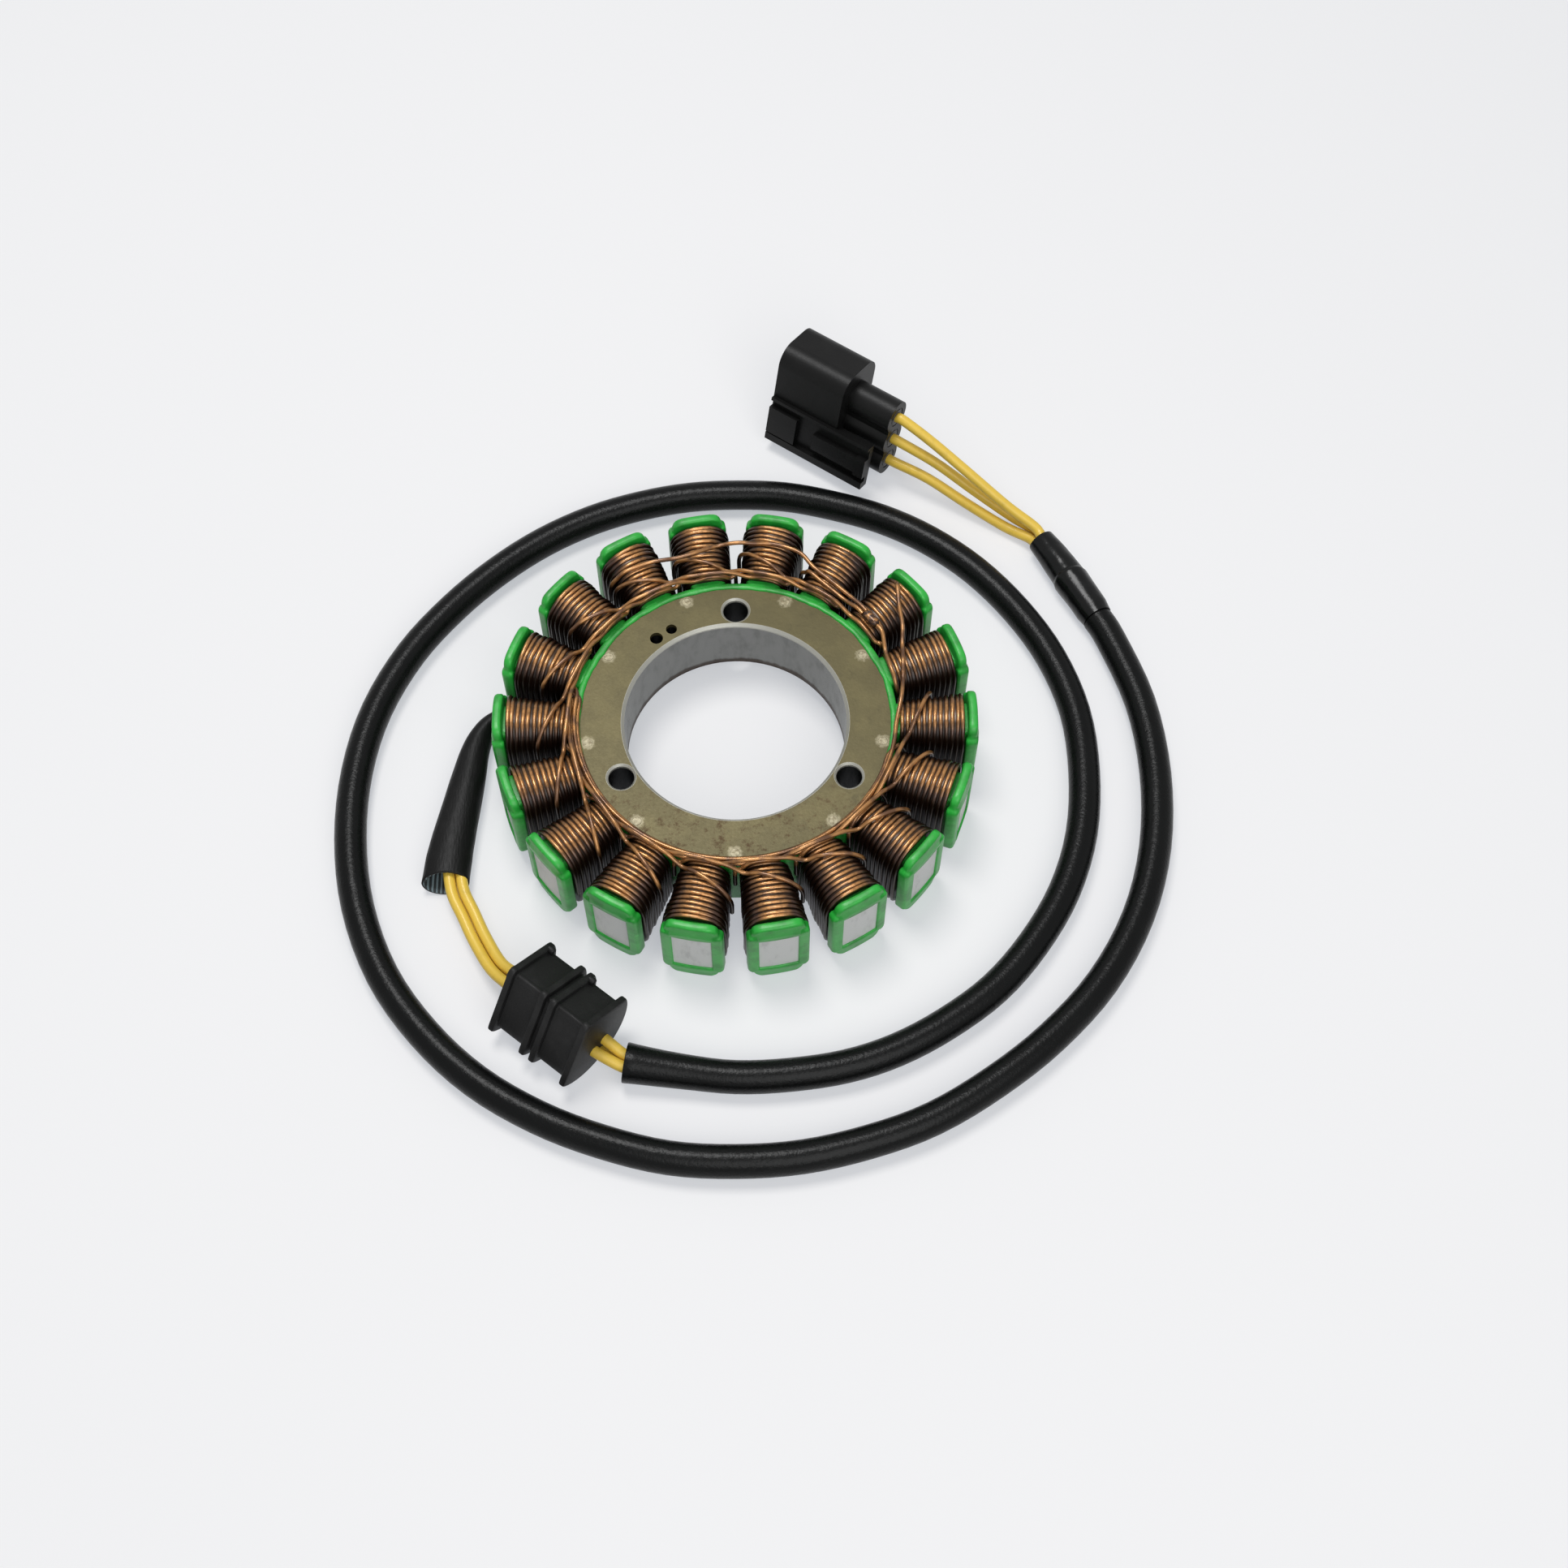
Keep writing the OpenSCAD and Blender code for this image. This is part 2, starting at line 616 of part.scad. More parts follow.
// Tail of a phase: along the rim round the front of the ring, down the ring's wall at the lead exit
// and out through that slot to its splice
module phase_tail(phase) {
    drop = exit_angle + (1 - phase) * 2.2;
    lane_from = tail_lane_from(phase);
    lane_to = drop + (phase == 1 ? 0.1 : 0.17) * pitch;
    steps = round((lane_from - lane_to) / 6);
    rank = [0, 1, -1][phase];
    out_z = mid_z - 7 + 3 * rank;
    path = concat(
        tail_start(phase),
        [for (i = [0 : steps]) let (a = lane_from + (lane_to - lane_from) * i / steps)
            polar(a, tail_r[phase], tail_z[phase])],
        [
            polar(drop + 0.01 * pitch, drop_r, rim_z + 0.1),
            polar(drop, drop_r, stack_top - 3),
            polar(drop, drop_r, out_z + 2.4),
            polar(exit_angle + 0.3 * (drop - exit_angle), drop_r, out_z + 0.8),
            polar(exit_angle, coil_in + 1.5, out_z),
            polar(exit_angle, (coil_in + coil_out) / 2, out_z - 1),
            polar(exit_angle, shoe_in_r - 2, 5.6 + 1.4 * rank),
            polar(exit_angle, face_r - 1, 5.2 + 1.3 * rank),
            [-62.3, 9.4, 4.7 + 1.25 * rank],
            [-65, 5.7, 4.4 + 1.25 * rank],
            [-66.7, 0.5, 4.2 + 1.2 * rank],
            splice_start(phase) - 4 * splice_dir,
            splice_start(phase)
        ]
    );
    color("chocolate") tube(path, [for (p = path) wire_d], 6);
}

// Start wires of the three phases, which meet in the star joint on the second coil's inner end
star_angle = 1.9 * pitch;
star_r = coil_in + 2.2;
star_d = 2.6;
star_len = 5;
star_z = crest_z(star_r) + star_d / 2 + wire_gap;
// Place at the star joint: x along it towards smaller angles, y outward
function star_point(x, y, z) = polar(star_angle, star_r + y, star_z + z)
    + x * [sin(star_angle), -cos(star_angle), 0];

// Loose wire that wanders over the coils' tops at the back, crossing two jumpers
star_loose = concat(
    [
        polar(6.5 * pitch, coil_in + 10.4, stack_top - 4),
        polar(6.49 * pitch, coil_in + 10.3, mid_z + half_h + 0.6),
        on_coil(6.38 * pitch, coil_in + 9.6, 0.1)
    ],
    [for (p = [[6.2, 8.9, 0], [5.82, 8.1, 0.1], [5.6, 7, 0.6], [5.45, 6.2, 1.1], [5.2, 6.1, 1.3],
        [4.97, 7, 0.9], [4.75, 8.1, 0.3], [4.55, 8.2, 0.9], [4.4, 8.3, 1], [4.25, 8.4, 0.7],
        [4.02, 9.3, 0], [3.75, 9.2, 0],
        [3.5, 8.4, 0], [3.25, 6, 0], [2.85, 4.3, 0.1], [2.48, 3.4, 0.3]])
        on_tops(p[0] * pitch, coil_in + p[1], p[2] * wire_d)],
    [star_point(-star_len / 2 - 2.5, 0.62, 0), star_point(-star_len / 2 - fit, 0.62, 0)]
);
// Second wire of the pair beside it, from the slot past the third coil
star_paired = concat(
    [
        polar(3.5 * pitch, coil_in + 6, stack_top - 3),
        polar(3.49 * pitch, coil_in + 5.9, mid_z + half_h + 0.5),
        on_coil(3.38 * pitch, coil_in + 5.3, 0.1)
    ],
    [for (p = [[3.27, 4.4, 0], [3.05, 3.3, 0], [2.85, 2.6, 0], [2.48, 1.9, 0]])
        on_tops(p[0] * pitch, coil_in + p[1], p[2])],
    [star_point(-star_len / 2 - 2.5, -0.62, 0), star_point(-star_len / 2 - fit, -0.62, 0)]
);
// Wire that follows the ring from the joint to the slot before the first coil
star_ringed = concat(
    [star_point(star_len / 2 + fit, 0, 0), star_point(star_len / 2 + 2.2, -0.2, -0.1)],
    [
        on_coil(1.3 * pitch, coil_in + 0.7, 0.1),
        on_coil(pitch, lane_r),
        on_coil(0.79 * pitch, lane_r),
        on_coil(0.61 * pitch, lane_r + 0.1, 0.1),
        on_coil(0.52 * pitch, coil_in + 0.5, 0.1),
        polar(0.5 * pitch, coil_in + 1, stack_top - 1.7),
        polar(0.5 * pitch, coil_in + 1, stack_top - 5)
    ]
);

module star_wires() {
    color("chocolate") for (path = [star_loose, star_paired, star_ringed])
        tube(path, [for (p = path) wire_d], 6);
}

module star_joint() {
    color("saddlebrown") translate(polar(star_angle, star_r, star_z)) rotate([0, 90, star_angle - 90])
        translate([0, 0, -star_len / 2]) cylinder(h = star_len, d = star_d);
}

// Lead bundle

// Place on the splices' centre line with the offsets of lane i
splice_dir = unit(splice_to - splice_from);
splice_left = unit(cross([0, 0, 1], splice_dir));
function lane_shift(i, left, spread) = spread * (lane[i].x * left + [0, 0, lane[i].y]);
function splice_start(i) = splice_from + lane_shift(i, splice_left, 1) - fit * splice_dir;

module fibre_sleeve() {
    color("#202020") hose(sleeve_route, sleeve_size, sleeve_wall, 12);
}

module crimp_splices() {
    heading = atan2(splice_dir.y, splice_dir.x);
    color("silver") for (i = [0 : 2])
        translate(splice_from + lane_shift(i, splice_left, 1)) rotate([0, 90, heading])
            cylinder(h = norm(splice_to - splice_from), d = splice_d);
}

// Place in the grommet: x along its axis, y to the left of it, z above the axis
function in_grommet(x, y, z) = [
    grommet_at.x + x * cos(grommet_angle) - y * sin(grommet_angle),
    grommet_at.y + x * sin(grommet_angle) + y * cos(grommet_angle),
    grommet_z + z
];

// Lead i from its splice through its hole in the grommet to the sheath
module lead(i) {
    left = leftward(tangents(lead_route));
    hole = hole_at + hole_spread * lane[i];
    sheath_dir = unit(sheath_route[1] - sheath_route[0]);
    sheath_left = [-sheath_dir.y, sheath_dir.x, 0];
    sheath_from = [sheath_route[0].x, sheath_route[0].y, sheath_d / 2 + fit]
        + lane_shift(i, sheath_left, 1);
    back = [sheath_dir.x, sheath_dir.y, 0];
    route = concat(
        [for (k = [0 : len(lead_route) - 1]) lead_route[k] + lane_shift(i, left[k], 1)],
        [for (x = [-1.5, 2, grommet_len / 2, grommet_len - 2, grommet_len + 1])
            in_grommet(x, hole.x, hole.y)],
        [sheath_from - 2 * back, sheath_from - 4 * fit * back]
    );
    path = concat([splice_to + lane_shift(i, splice_left, 1) + fit * splice_dir], route);
    color("khaki") tube(path, [for (p = path) lead_d], 8);
}

// Section of the grommet: a round with two flats that meet in a rounded ridge, drawn in by cut
module grommet_section(cut) {
    reach = 3 * flange_r;
    turn = steep_angle - gentle_angle;
    d1 = steep_flat - ridge_r;
    d2 = gentle_flat - ridge_r;
    centre = [
        d2 * sin(steep_angle) - d1 * sin(gentle_angle),
        d1 * cos(gentle_angle) - d2 * cos(steep_angle)
    ] / sin(turn);
    ridge = [for (i = [0 : 6]) let (a = steep_angle - turn * i / 6)
        centre + (ridge_r - cut) * [cos(a), sin(a)]];
    intersection() {
        circle(flange_r - cut);
        polygon(concat(
            [ridge[0] + reach * [-sin(steep_angle), cos(steep_angle)]],
            ridge,
            [ridge[6] + reach * [sin(gentle_angle), -cos(gentle_angle)], [reach, -reach], [-reach, -reach]]
        ));
    }
}

// Flange or body of the grommet between x and x + length
module grommet_slice(x, length, cut) {
    translate([x, 0, 0]) rotate([90, 0, 90]) linear_extrude(length) grommet_section(cut);
}

module grommet() {
    mid = grommet_len / 2;
    color("#242424") translate([grommet_at.x, grommet_at.y, grommet_z]) rotate(grommet_angle) difference() {
        union() {
            grommet_slice(0, grommet_len, groove_depth);
            for (x = [0, mid - slit_w / 2 - flange_t, mid + slit_w / 2, grommet_len - flange_t])
                grommet_slice(x, flange_t, 0);
            for (x = [flange_t, mid + slit_w / 2 + flange_t]) rotate([nub_angle, 0, 0])
                translate([x - flange_t / 2, flange_r - groove_depth, 0]) rotate([0, 90, 0])
                    cylinder(h = flange_t / 2 + nub_len, d = nub_d, $fn = 24);
        }
        for (i = [0 : 2]) let (hole = hole_at + hole_spread * lane[i])
            translate([-over, hole.x, hole.y]) rotate([0, 90, 0])
                cylinder(h = grommet_len + 2 * over, d = lead_d + 2 * fit);
    }
}

module sheath() {
    path = [for (p = sheath_route) [p.x, p.y, sheath_d / 2 + fit]];
    color("#141414") tube(path, [for (p = path) sheath_d], 10);
}

module sheath_wrap() {
    color("#1c1c1c") tube(wrap_route, wrap_d, 10);
}

// Connector

// Place in the connector: x from its open end, y through its thickness, z along the row of blades
function in_connector(x, y, z) = let (
    side = y * cos(lean) + z * sin(lean),
    rise = z * cos(lean) - y * sin(lean)
) [
    connector_at.x + x * cos(connector_angle) - side * sin(connector_angle),
    connector_at.y + x * sin(connector_angle) + side * cos(connector_angle),
    connector_z + rise
];

module place_connector() {
    translate([connector_at.x, connector_at.y, connector_z])
        rotate(connector_angle) rotate([-lean, 0, 0]) children();
}

module at_blades(x) {
    for (i = [0 : 2]) translate([x, row_y, row_z + i * blade_pitch]) rotate([0, 90, 0]) children();
}

// Lead i of the connector, from the wrap to its barrel
module connector_lead(i) {
    z = row_z + i * blade_pitch;
    route = concat(tail_route[i], [for (x = [6, 3, 0.1]) in_connector(rear_x + x, row_y, z)]);
    path = smooth(route, 2);
    color("khaki") tube(path, [for (p = path) lead_d], 8);
}

// Rounded outline of the hood, drawn in by cut: y to the left of the page's x
module hood_outline(cut) {
    top_r = hood_corner_r - cut;
    foot_r = max(foot_corner_r - cut, 0.3);
    wide = hood_w - 2 * cut;
    tall = hood_h - 2 * cut;
    translate([cut, cut]) {
        polygon([
            [0, foot_r], [foot_r, 0], [wide - foot_r, 0], [wide, foot_r],
            [wide, tall - top_r], [wide - top_r, tall], [top_r, tall], [0, tall - top_r]
        ]);
        for (x = [top_r, wide - top_r]) translate([x, tall - top_r]) circle(top_r);
        for (x = [foot_r, wide - foot_r]) translate([x, foot_r]) circle(foot_r);
    }
}

// Extrudes an outline drawn in the connector's y and z from x over a length
module along_connector(x, length) {
    translate([x, 0, 0]) rotate([90, 0, 90]) linear_extrude(length) children();
}

module barrel_block() {
    wide = 0.75 * barrel_d;
    along_connector(hood_len - over, barrel_len + over) {
        for (i = [0 : 2]) translate([row_y, row_z + i * blade_pitch]) circle(d = barrel_d);
        translate([row_y - wide / 2, row_z]) square([wide, 2 * blade_pitch]);
    }
}

// Latch side of the housing: guard rails, the catch block and the sprung arm between them
module latch_side() {
    rail_len = hood_len + 0.85 * barrel_len;
    arm_z = 5;
    arm_h = 5;
    along_connector(0, rail_len) {
        translate([-latch_stand, 0.4]) square([latch_stand + hood_wall, 2.2]);
        translate([-latch_stand * 0.7, 13.6]) square([latch_stand * 0.7 + hood_wall, 1]);
        translate([0, 0.4]) square([hood_wall, 14.2]);
    }
    along_connector(0, 9) translate([-latch_stand, 3]) square([latch_stand + hood_wall, 8.6]);
    along_connector(hood_len - 6, 0.85 * barrel_len + 4) translate([-latch_stand, arm_z])
        square([latch_stand, arm_h]);
    along_connector(rail_len - 3, 3) translate([-latch_stand * 1.2, arm_z - 0.6])
        square([latch_stand * 1.2, arm_h + 1.2]);
}

module connector_housing() {
    socket_depth = hood_len - socket_floor;
    color("#1e1e1e") place_connector() difference() {
        union() {
            along_connector(0, hood_len) hood_outline(0);
            barrel_block();
            latch_side();
        }
        translate([-over, 0, 0]) along_connector(0, socket_depth + over) hood_outline(hood_wall);
        at_blades(socket_depth - over) translate([-blade.x / 2, -blade.y / 2 - fit, 0])
            translate([-fit, 0, 0]) cube([blade.x + 2 * fit, blade.y + 2 * fit, socket_floor + 2 * over]);
        at_blades(hood_len) cylinder(h = barrel_len + over, d = barrel_d - 2 * hood_wall);
    }
}

// Ribbed rubber plug round each lead in the mouth of its barrel
module connector_seals() {
    plug_d = barrel_d - 2 * hood_wall - 2 * fit;
    color("dimgray") place_connector() at_blades(rear_x - seal_len) difference() {
        union() {
            cylinder(h = seal_len, d = plug_d - 0.8);
            for (z = [0.2, 1.6, 3]) translate([0, 0, z]) cylinder(h = 0.8, d = plug_d);
        }
        translate([0, 0, -over]) cylinder(h = seal_len + over - 0.2, d = lead_d - 0.6);
    }
}

// Blade with the crimp barrel behind it
module connector_blades() {
    blade_from = 5;
    crimp_from = hood_len + 0.5;
    color("silver") place_connector() {
        at_blades(blade_from) translate([-blade.x / 2, -blade.y / 2, 0])
            cube([blade.x, blade.y, crimp_from - blade_from + fit]);
        at_blades(crimp_from) cylinder(h = barrel_len - seal_len - 1, d = lead_d - 0.7);
        at_blades(crimp_from) translate([-barrel_d / 2 + hood_wall + 2 * fit, -blade.y, 0])
            cube([barrel_d - 2 * hood_wall - 4 * fit, 2 * blade.y, 2]);
    }
}

lamination_stack();
upper_end_plate();
lower_end_plate();
core_rivets();
green_coating();
for (k = [1 : pole_count]) coil(k);
for (i = [0 : 2]) jumpers(i);
for (i = [0 : 2]) phase_tail(i);
star_wires();
star_joint();
fibre_sleeve();
crimp_splices();
for (i = [0 : 2]) lead(i);
grommet();
sheath();
sheath_wrap();
for (i = [0 : 2]) connector_lead(i);
connector_housing();
connector_seals();
connector_blades();
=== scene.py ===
import math
import bpy
from bpy.props import FloatProperty, FloatVectorProperty, IntProperty, PointerProperty
from mathutils import Matrix, Vector, noise


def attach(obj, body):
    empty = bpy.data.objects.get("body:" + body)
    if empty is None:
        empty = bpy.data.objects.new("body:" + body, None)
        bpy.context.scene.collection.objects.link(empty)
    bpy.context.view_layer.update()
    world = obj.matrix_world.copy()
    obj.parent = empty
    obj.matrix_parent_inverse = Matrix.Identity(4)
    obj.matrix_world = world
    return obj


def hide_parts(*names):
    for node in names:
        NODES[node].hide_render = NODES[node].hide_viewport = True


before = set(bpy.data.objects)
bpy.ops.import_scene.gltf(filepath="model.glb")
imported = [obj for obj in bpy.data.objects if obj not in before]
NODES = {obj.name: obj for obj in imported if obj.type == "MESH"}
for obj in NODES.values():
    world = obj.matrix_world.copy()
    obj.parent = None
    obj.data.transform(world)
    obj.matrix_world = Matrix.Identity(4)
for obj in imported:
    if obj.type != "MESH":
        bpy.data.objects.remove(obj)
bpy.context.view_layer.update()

bl_info = {
    "name": "Wound stator",
    "version": (1, 0, 0),
    "blender": (4, 5, 0),
    "location": "View3D > Sidebar > Stator",
    "description": "Dresses the solids of a wound stator and its lead harness",
    "category": "Object",
}

MM = 0.001

# Diameters of the leads and the sheath, and the height of the sheath's middle, in millimetres
LEAD_D = 2.8
SHEATH_D = 8
SHEATH_Z = 4.05

# The round floor's radius in metres, its lit share of the floor's colour, and the rest, which glows
FLOOR_R = 2.4
FLOOR_LIT = (0.54, 0.52, 0.49)
FLOOR_GLOW = (0.4, 0.42, 0.455)

# Each lamp's size and place in metres; the camera's azimuth, elevation and roll in degrees, and how far it
# stands back, to the right and up from the origin, in millimetres
KEY_LAMP = (0.45, (-0.15, 0.28, 1.05))
FILL_LAMP = (1.0, (0.25, -0.75, 0.9))
CAMERA_TURN = (-0.7718, 61.6019, 0.2984)
CAMERA_PLACE = (536.203, 12.047, -5.405)

# Sizes of the core and its windings, in millimetres
POLES = 18
PITCH = 360 / POLES
FACE_R = 60.0
SHOE_IN_R = 57.0
SHOE_W = 15.0
TIP_W = 12.0
TOOTH_W = 8.0
STACK_H = 18.0
COAT = 0.5
YOKE_R = 39.5
WALL_R = YOKE_R + COAT
RIM_IN_R = 38.3
WINDOW = (9.5, 15.3)
WIRE_D = 1.1
WIRE_RIDE = WIRE_D / 2 + 0.2
COIL_IN = WALL_R + 1
COIL_OUT = math.sqrt(SHOE_IN_R ** 2 - (SHOE_W / 2) ** 2) - 0.2
COIL_LEN = COIL_OUT - COIL_IN
HALF_W = TOOTH_W / 2 + COAT + 0.05
HALF_H = STACK_H / 2 + COAT + 0.05
LAY_IN = COIL_IN * math.tan(math.radians(PITCH / 2)) - HALF_W - 1
LAY_OUT = COIL_OUT * math.tan(math.radians(PITCH / 2)) - HALF_W - 1.9
TURNS = 12
CORNER_IN = 3.6
MID_Z = HALF_H + LAY_OUT + 0.15
STACK_TOP = MID_Z + STACK_H / 2
STACK_LOW = MID_Z - STACK_H / 2
LANE_R = WALL_R + 0.75 * WIRE_D
LANE_Z = MID_Z + HALF_H + LAY_IN + WIRE_RIDE
RIM_Z = STACK_TOP + COAT + WIRE_D / 2 + 0.05
DROP_R = WALL_R + WIRE_D / 2 + 0.1
TAIL_R = (WALL_R + 0.18 * WIRE_D, WALL_R - WIRE_D, WALL_R - 0.41 * WIRE_D)
TAIL_Z = (RIM_Z, RIM_Z, RIM_Z + 1.05 * WIRE_D)
EXIT_ANGLE = 170

# Routes of the harness, in millimetres
SLEEVE_ROUTE = [
    (-56.6, 10, 4.1), (-59.2, 10.4, 4.1), (-62.2, 9.6, 4.1), (-65, 5.8, 4.1), (-66.6, 0.5, 4.1),
    (-67.6, -6, 4.1), (-69, -15, 4.1), (-70.3, -23, 4.1), (-71, -29, 4.1), (-71.4, -33.5, 4)]
SLEEVE_SIZE = [
    (4.6, 8), (4.8, 8), (4.8, 8), (6, 8), (7.4, 8), (8.6, 8), (9.8, 8), (10.8, 8), (11.4, 7.9), (11.8, 7.8)]
SPLICE_FROM = Vector((-68.9, -14.3, 4.1))
SPLICE_TO = Vector((-70, -21, 4.1))
LEAD_ROUTE = [
    (-70.1, -21.6, 4.1), (-70, -28, 4.1), (-69.3, -33, 4), (-68.1, -38.5, 3.4), (-65.4, -44, 3.1),
    (-62, -51, 3.1), (-57.4, -58.6, 4.2)]
LANES = ((1.5, 1.15), (-1.5, 1.15), (0, -1.55))
HOLE_SPREAD = 1.25
HOLE_AT = (2, -7.2)
SHEATH_ROUTE = [
    (-26, -83), (-13, -85), (0, -86.5), (13, -86), (26, -84), (38, -80), (50, -73.5), (62, -64.5),
    (72, -53), (80.5, -39), (86, -23), (88, -5.5), (87, 12), (82, 28.5), (74, 43), (63.5, 56),
    (51.5, 66), (39, 73), (26, 77.5), (13, 80.5), (0, 81.2), (-13, 80.5), (-26, 77.8), (-39, 73.2),
    (-52, 66), (-64, 56.5), (-75, 45), (-85, 31), (-92.5, 14), (-96, -4), (-96, -23), (-92.5, -42),
    (-85, -60), (-74, -75), (-61, -87), (-46, -96), (-31, -102), (-15.5, -106), (0, -107),
    (15.5, -106), (31, -102.5), (46, -97), (61, -88), (75, -77), (88, -63), (98, -46), (104, -27),
    (106, -6), (104, 15), (98, 34), (95, 40.5)]
WRAP_ROUTE = [(94.9, 40.7, 4.5), (92, 46.5, 4.5), (88.7, 52.8, 4.6), (85, 59.5, 4.6), (81.8, 65.2, 4.5)]
WRAP_D = (8.8, 9, 9.5, 8.8, 7.8)
TAIL_ROUTE = [
    [(80.4, 64.7, 3.5), (78.8, 67.2, 3), (72.5, 71.4, 2.4), (62, 78, 4.4), (52, 84.2, 7)],
    [(82.9, 66.1, 3.5), (81, 69.2, 3.2), (74, 74, 4), (64, 79.6, 8), (54, 85.2, 12.4)],
    [(81.7, 65.4, 6), (80, 68.3, 6.6), (72.5, 73.1, 9.6), (62, 80.1, 15.1), (52.5, 86.8, 19.5)]]
GROMMET_AT = (-52, -66)
GROMMET_ANGLE = math.radians(-38.7)
GROMMET_LEN = 24.0
FLANGE_R = 13.0
GROMMET_Z = FLANGE_R + 0.05
STEEP = (math.radians(147), 5.5)
GENTLE = (math.radians(60), 7.8)
CONNECTOR_AT = (8.3, 101.9)
CONNECTOR_ANGLE = math.radians(-34.9)
LEAN = math.radians(13)
HOOD_W = 16.5
CONNECTOR_Z = (HOOD_W - 2) * math.sin(LEAN) + 2 * (1 - math.cos(LEAN)) + 0.05
REAR_X = 33.5
ROW_Z = 6.4
BLADE_PITCH = 7.4


def srgb(red, green, blue):
    """Linear colour of an 8-bit display colour."""
    def level(c):
        c /= 255
        return c / 12.92 if c <= 0.04045 else ((c + 0.055) / 1.055) ** 2.4
    return (level(red), level(green), level(blue))


def times(colour, factor):
    return [v * factor for v in colour]


# Settings that a user would change


def tone(name, description, red, green, blue):
    """Colour property with a display colour as its default."""
    return FloatVectorProperty(
        name=name, description=description, subtype="COLOR", size=3, min=0, max=1,
        default=srgb(red, green, blue))


def length(name, description, millimetres):
    """Length property with a default in millimetres."""
    return FloatProperty(name=name, description=description, unit="LENGTH", min=0, default=millimetres * MM)


def side_count(name, description, count, low, lit_height):
    """Property for how many sides a round section has."""
    return IntProperty(name=name, description=description, default=count, min=low, max=lit_height)


def amount(name, description, value, unit="NONE"):
    """Number property that starts at a value and stays above 0."""
    return FloatProperty(name=name, description=description, default=value, min=0, unit=unit)


class StatorColours(bpy.types.PropertyGroup):
    """Colours of the stator's finishes."""
    plating: tone("Plating", "Olive plating of the end plates", 85, 78, 50)
    # Real brown stains; darker copies of this colour are painted shade along the bore's lower edge
    stain_and_shade: tone("Stain", "Brown stains on the end plates", 82, 58, 36)
    core: tone("Core steel", "Ground edges of the core's sheets", 132, 133, 131)
    coating: tone("Coating", "Green epoxy on poles and rim", 38, 172, 58)
    enamel: tone("Enamel", "Enamelled copper where it is clean", 188, 134, 78)
    # Real varnish; darker copies of this colour are painted shade on the windings' flanks and between turns
    # and coils
    varnish_and_shade: tone("Varnish", "Varnish in the dark places of the windings", 62, 40, 28)
    insulation: tone("Insulation", "Yellow insulation of the leads", 232, 196, 76)
    vinyl: tone("Vinyl", "Black vinyl of the sheath and the wrap", 10, 11, 11)
    rubber: tone("Rubber", "Black rubber of the grommet", 24, 24, 24)
    nylon: tone("Nylon", "Black nylon of the connector", 12, 12, 12)
    fibre: tone("Fibre", "Black fibre of the sleeve", 14, 14, 14)
    lining: tone("Lining", "Blue-grey lining of the sleeve", 120, 138, 146)
    tin: tone("Tin", "Tinned copper of splices and blades", 190, 190, 186)


class StatorSizes(bpy.types.PropertyGroup):
    """Sizes of the details that the solids leave out."""
    bead: length("Rim bead", "Rounding of the coating's edges", 0.4)
    waviness: length("Edge waviness", "How far the coating's edge on the ring wanders", 0.3)
    looseness: length("Looseness", "How far a turn strays from its place", 0.26)
    flare: length("Flare", "How far the sheath's open end widens", 0.85)
    sheath_wall: length("Sheath wall", "Wall of the sheath at its open end", 0.65)
    tape_step: length("Tape step", "Height of the wrapped tape's edge", 0.3)
    wire_sides: side_count("Wire sides", "Sides of a round wire", 8, 5, 16)
    cord_sides: side_count("Cord sides", "Sides of a lead or sheath", 24, 8, 48)


class StatorStage(bpy.types.PropertyGroup):
    """Floor, lights and camera."""
    floor: tone("Floor", "Pale floor", 241, 241, 242)
    ambient: amount("Ambient", "Strength of the even light", 0.26)
    backdrop: amount("Backdrop", "Strength of the pale backdrop that is seen", 0.7)
    key: amount("Key light", "Power of the main lamp", 6.4, "POWER")
    fill: amount("Fill light", "Power of the second lamp", 6.0, "POWER")
    lens: amount("Lens", "Focal length", 48.107, "CAMERA")


def colours():
    return bpy.context.scene.stator_colours


def sizes():
    return bpy.context.scene.stator_sizes


# Finishes


class Value:
    """A socket of a material's nodes that Python expressions act on."""

    def __init__(self, finish, socket):
        self.finish = finish
        self.socket = socket

    def __add__(self, other):
        return self.finish.math("ADD", self, other)

    def __radd__(self, other):
        return self.finish.math("ADD", other, self)

    def __sub__(self, other):
        return self.finish.math("SUBTRACT", self, other)

    def __rsub__(self, other):
        return self.finish.math("SUBTRACT", other, self)

    def __mul__(self, other):
        return self.finish.math("MULTIPLY", self, other)

    def __rmul__(self, other):
        return self.finish.math("MULTIPLY", other, self)

    def __truediv__(self, other):
        return self.finish.math("DIVIDE", self, other)

    def __pow__(self, other):
        return self.finish.math("POWER", self, other)


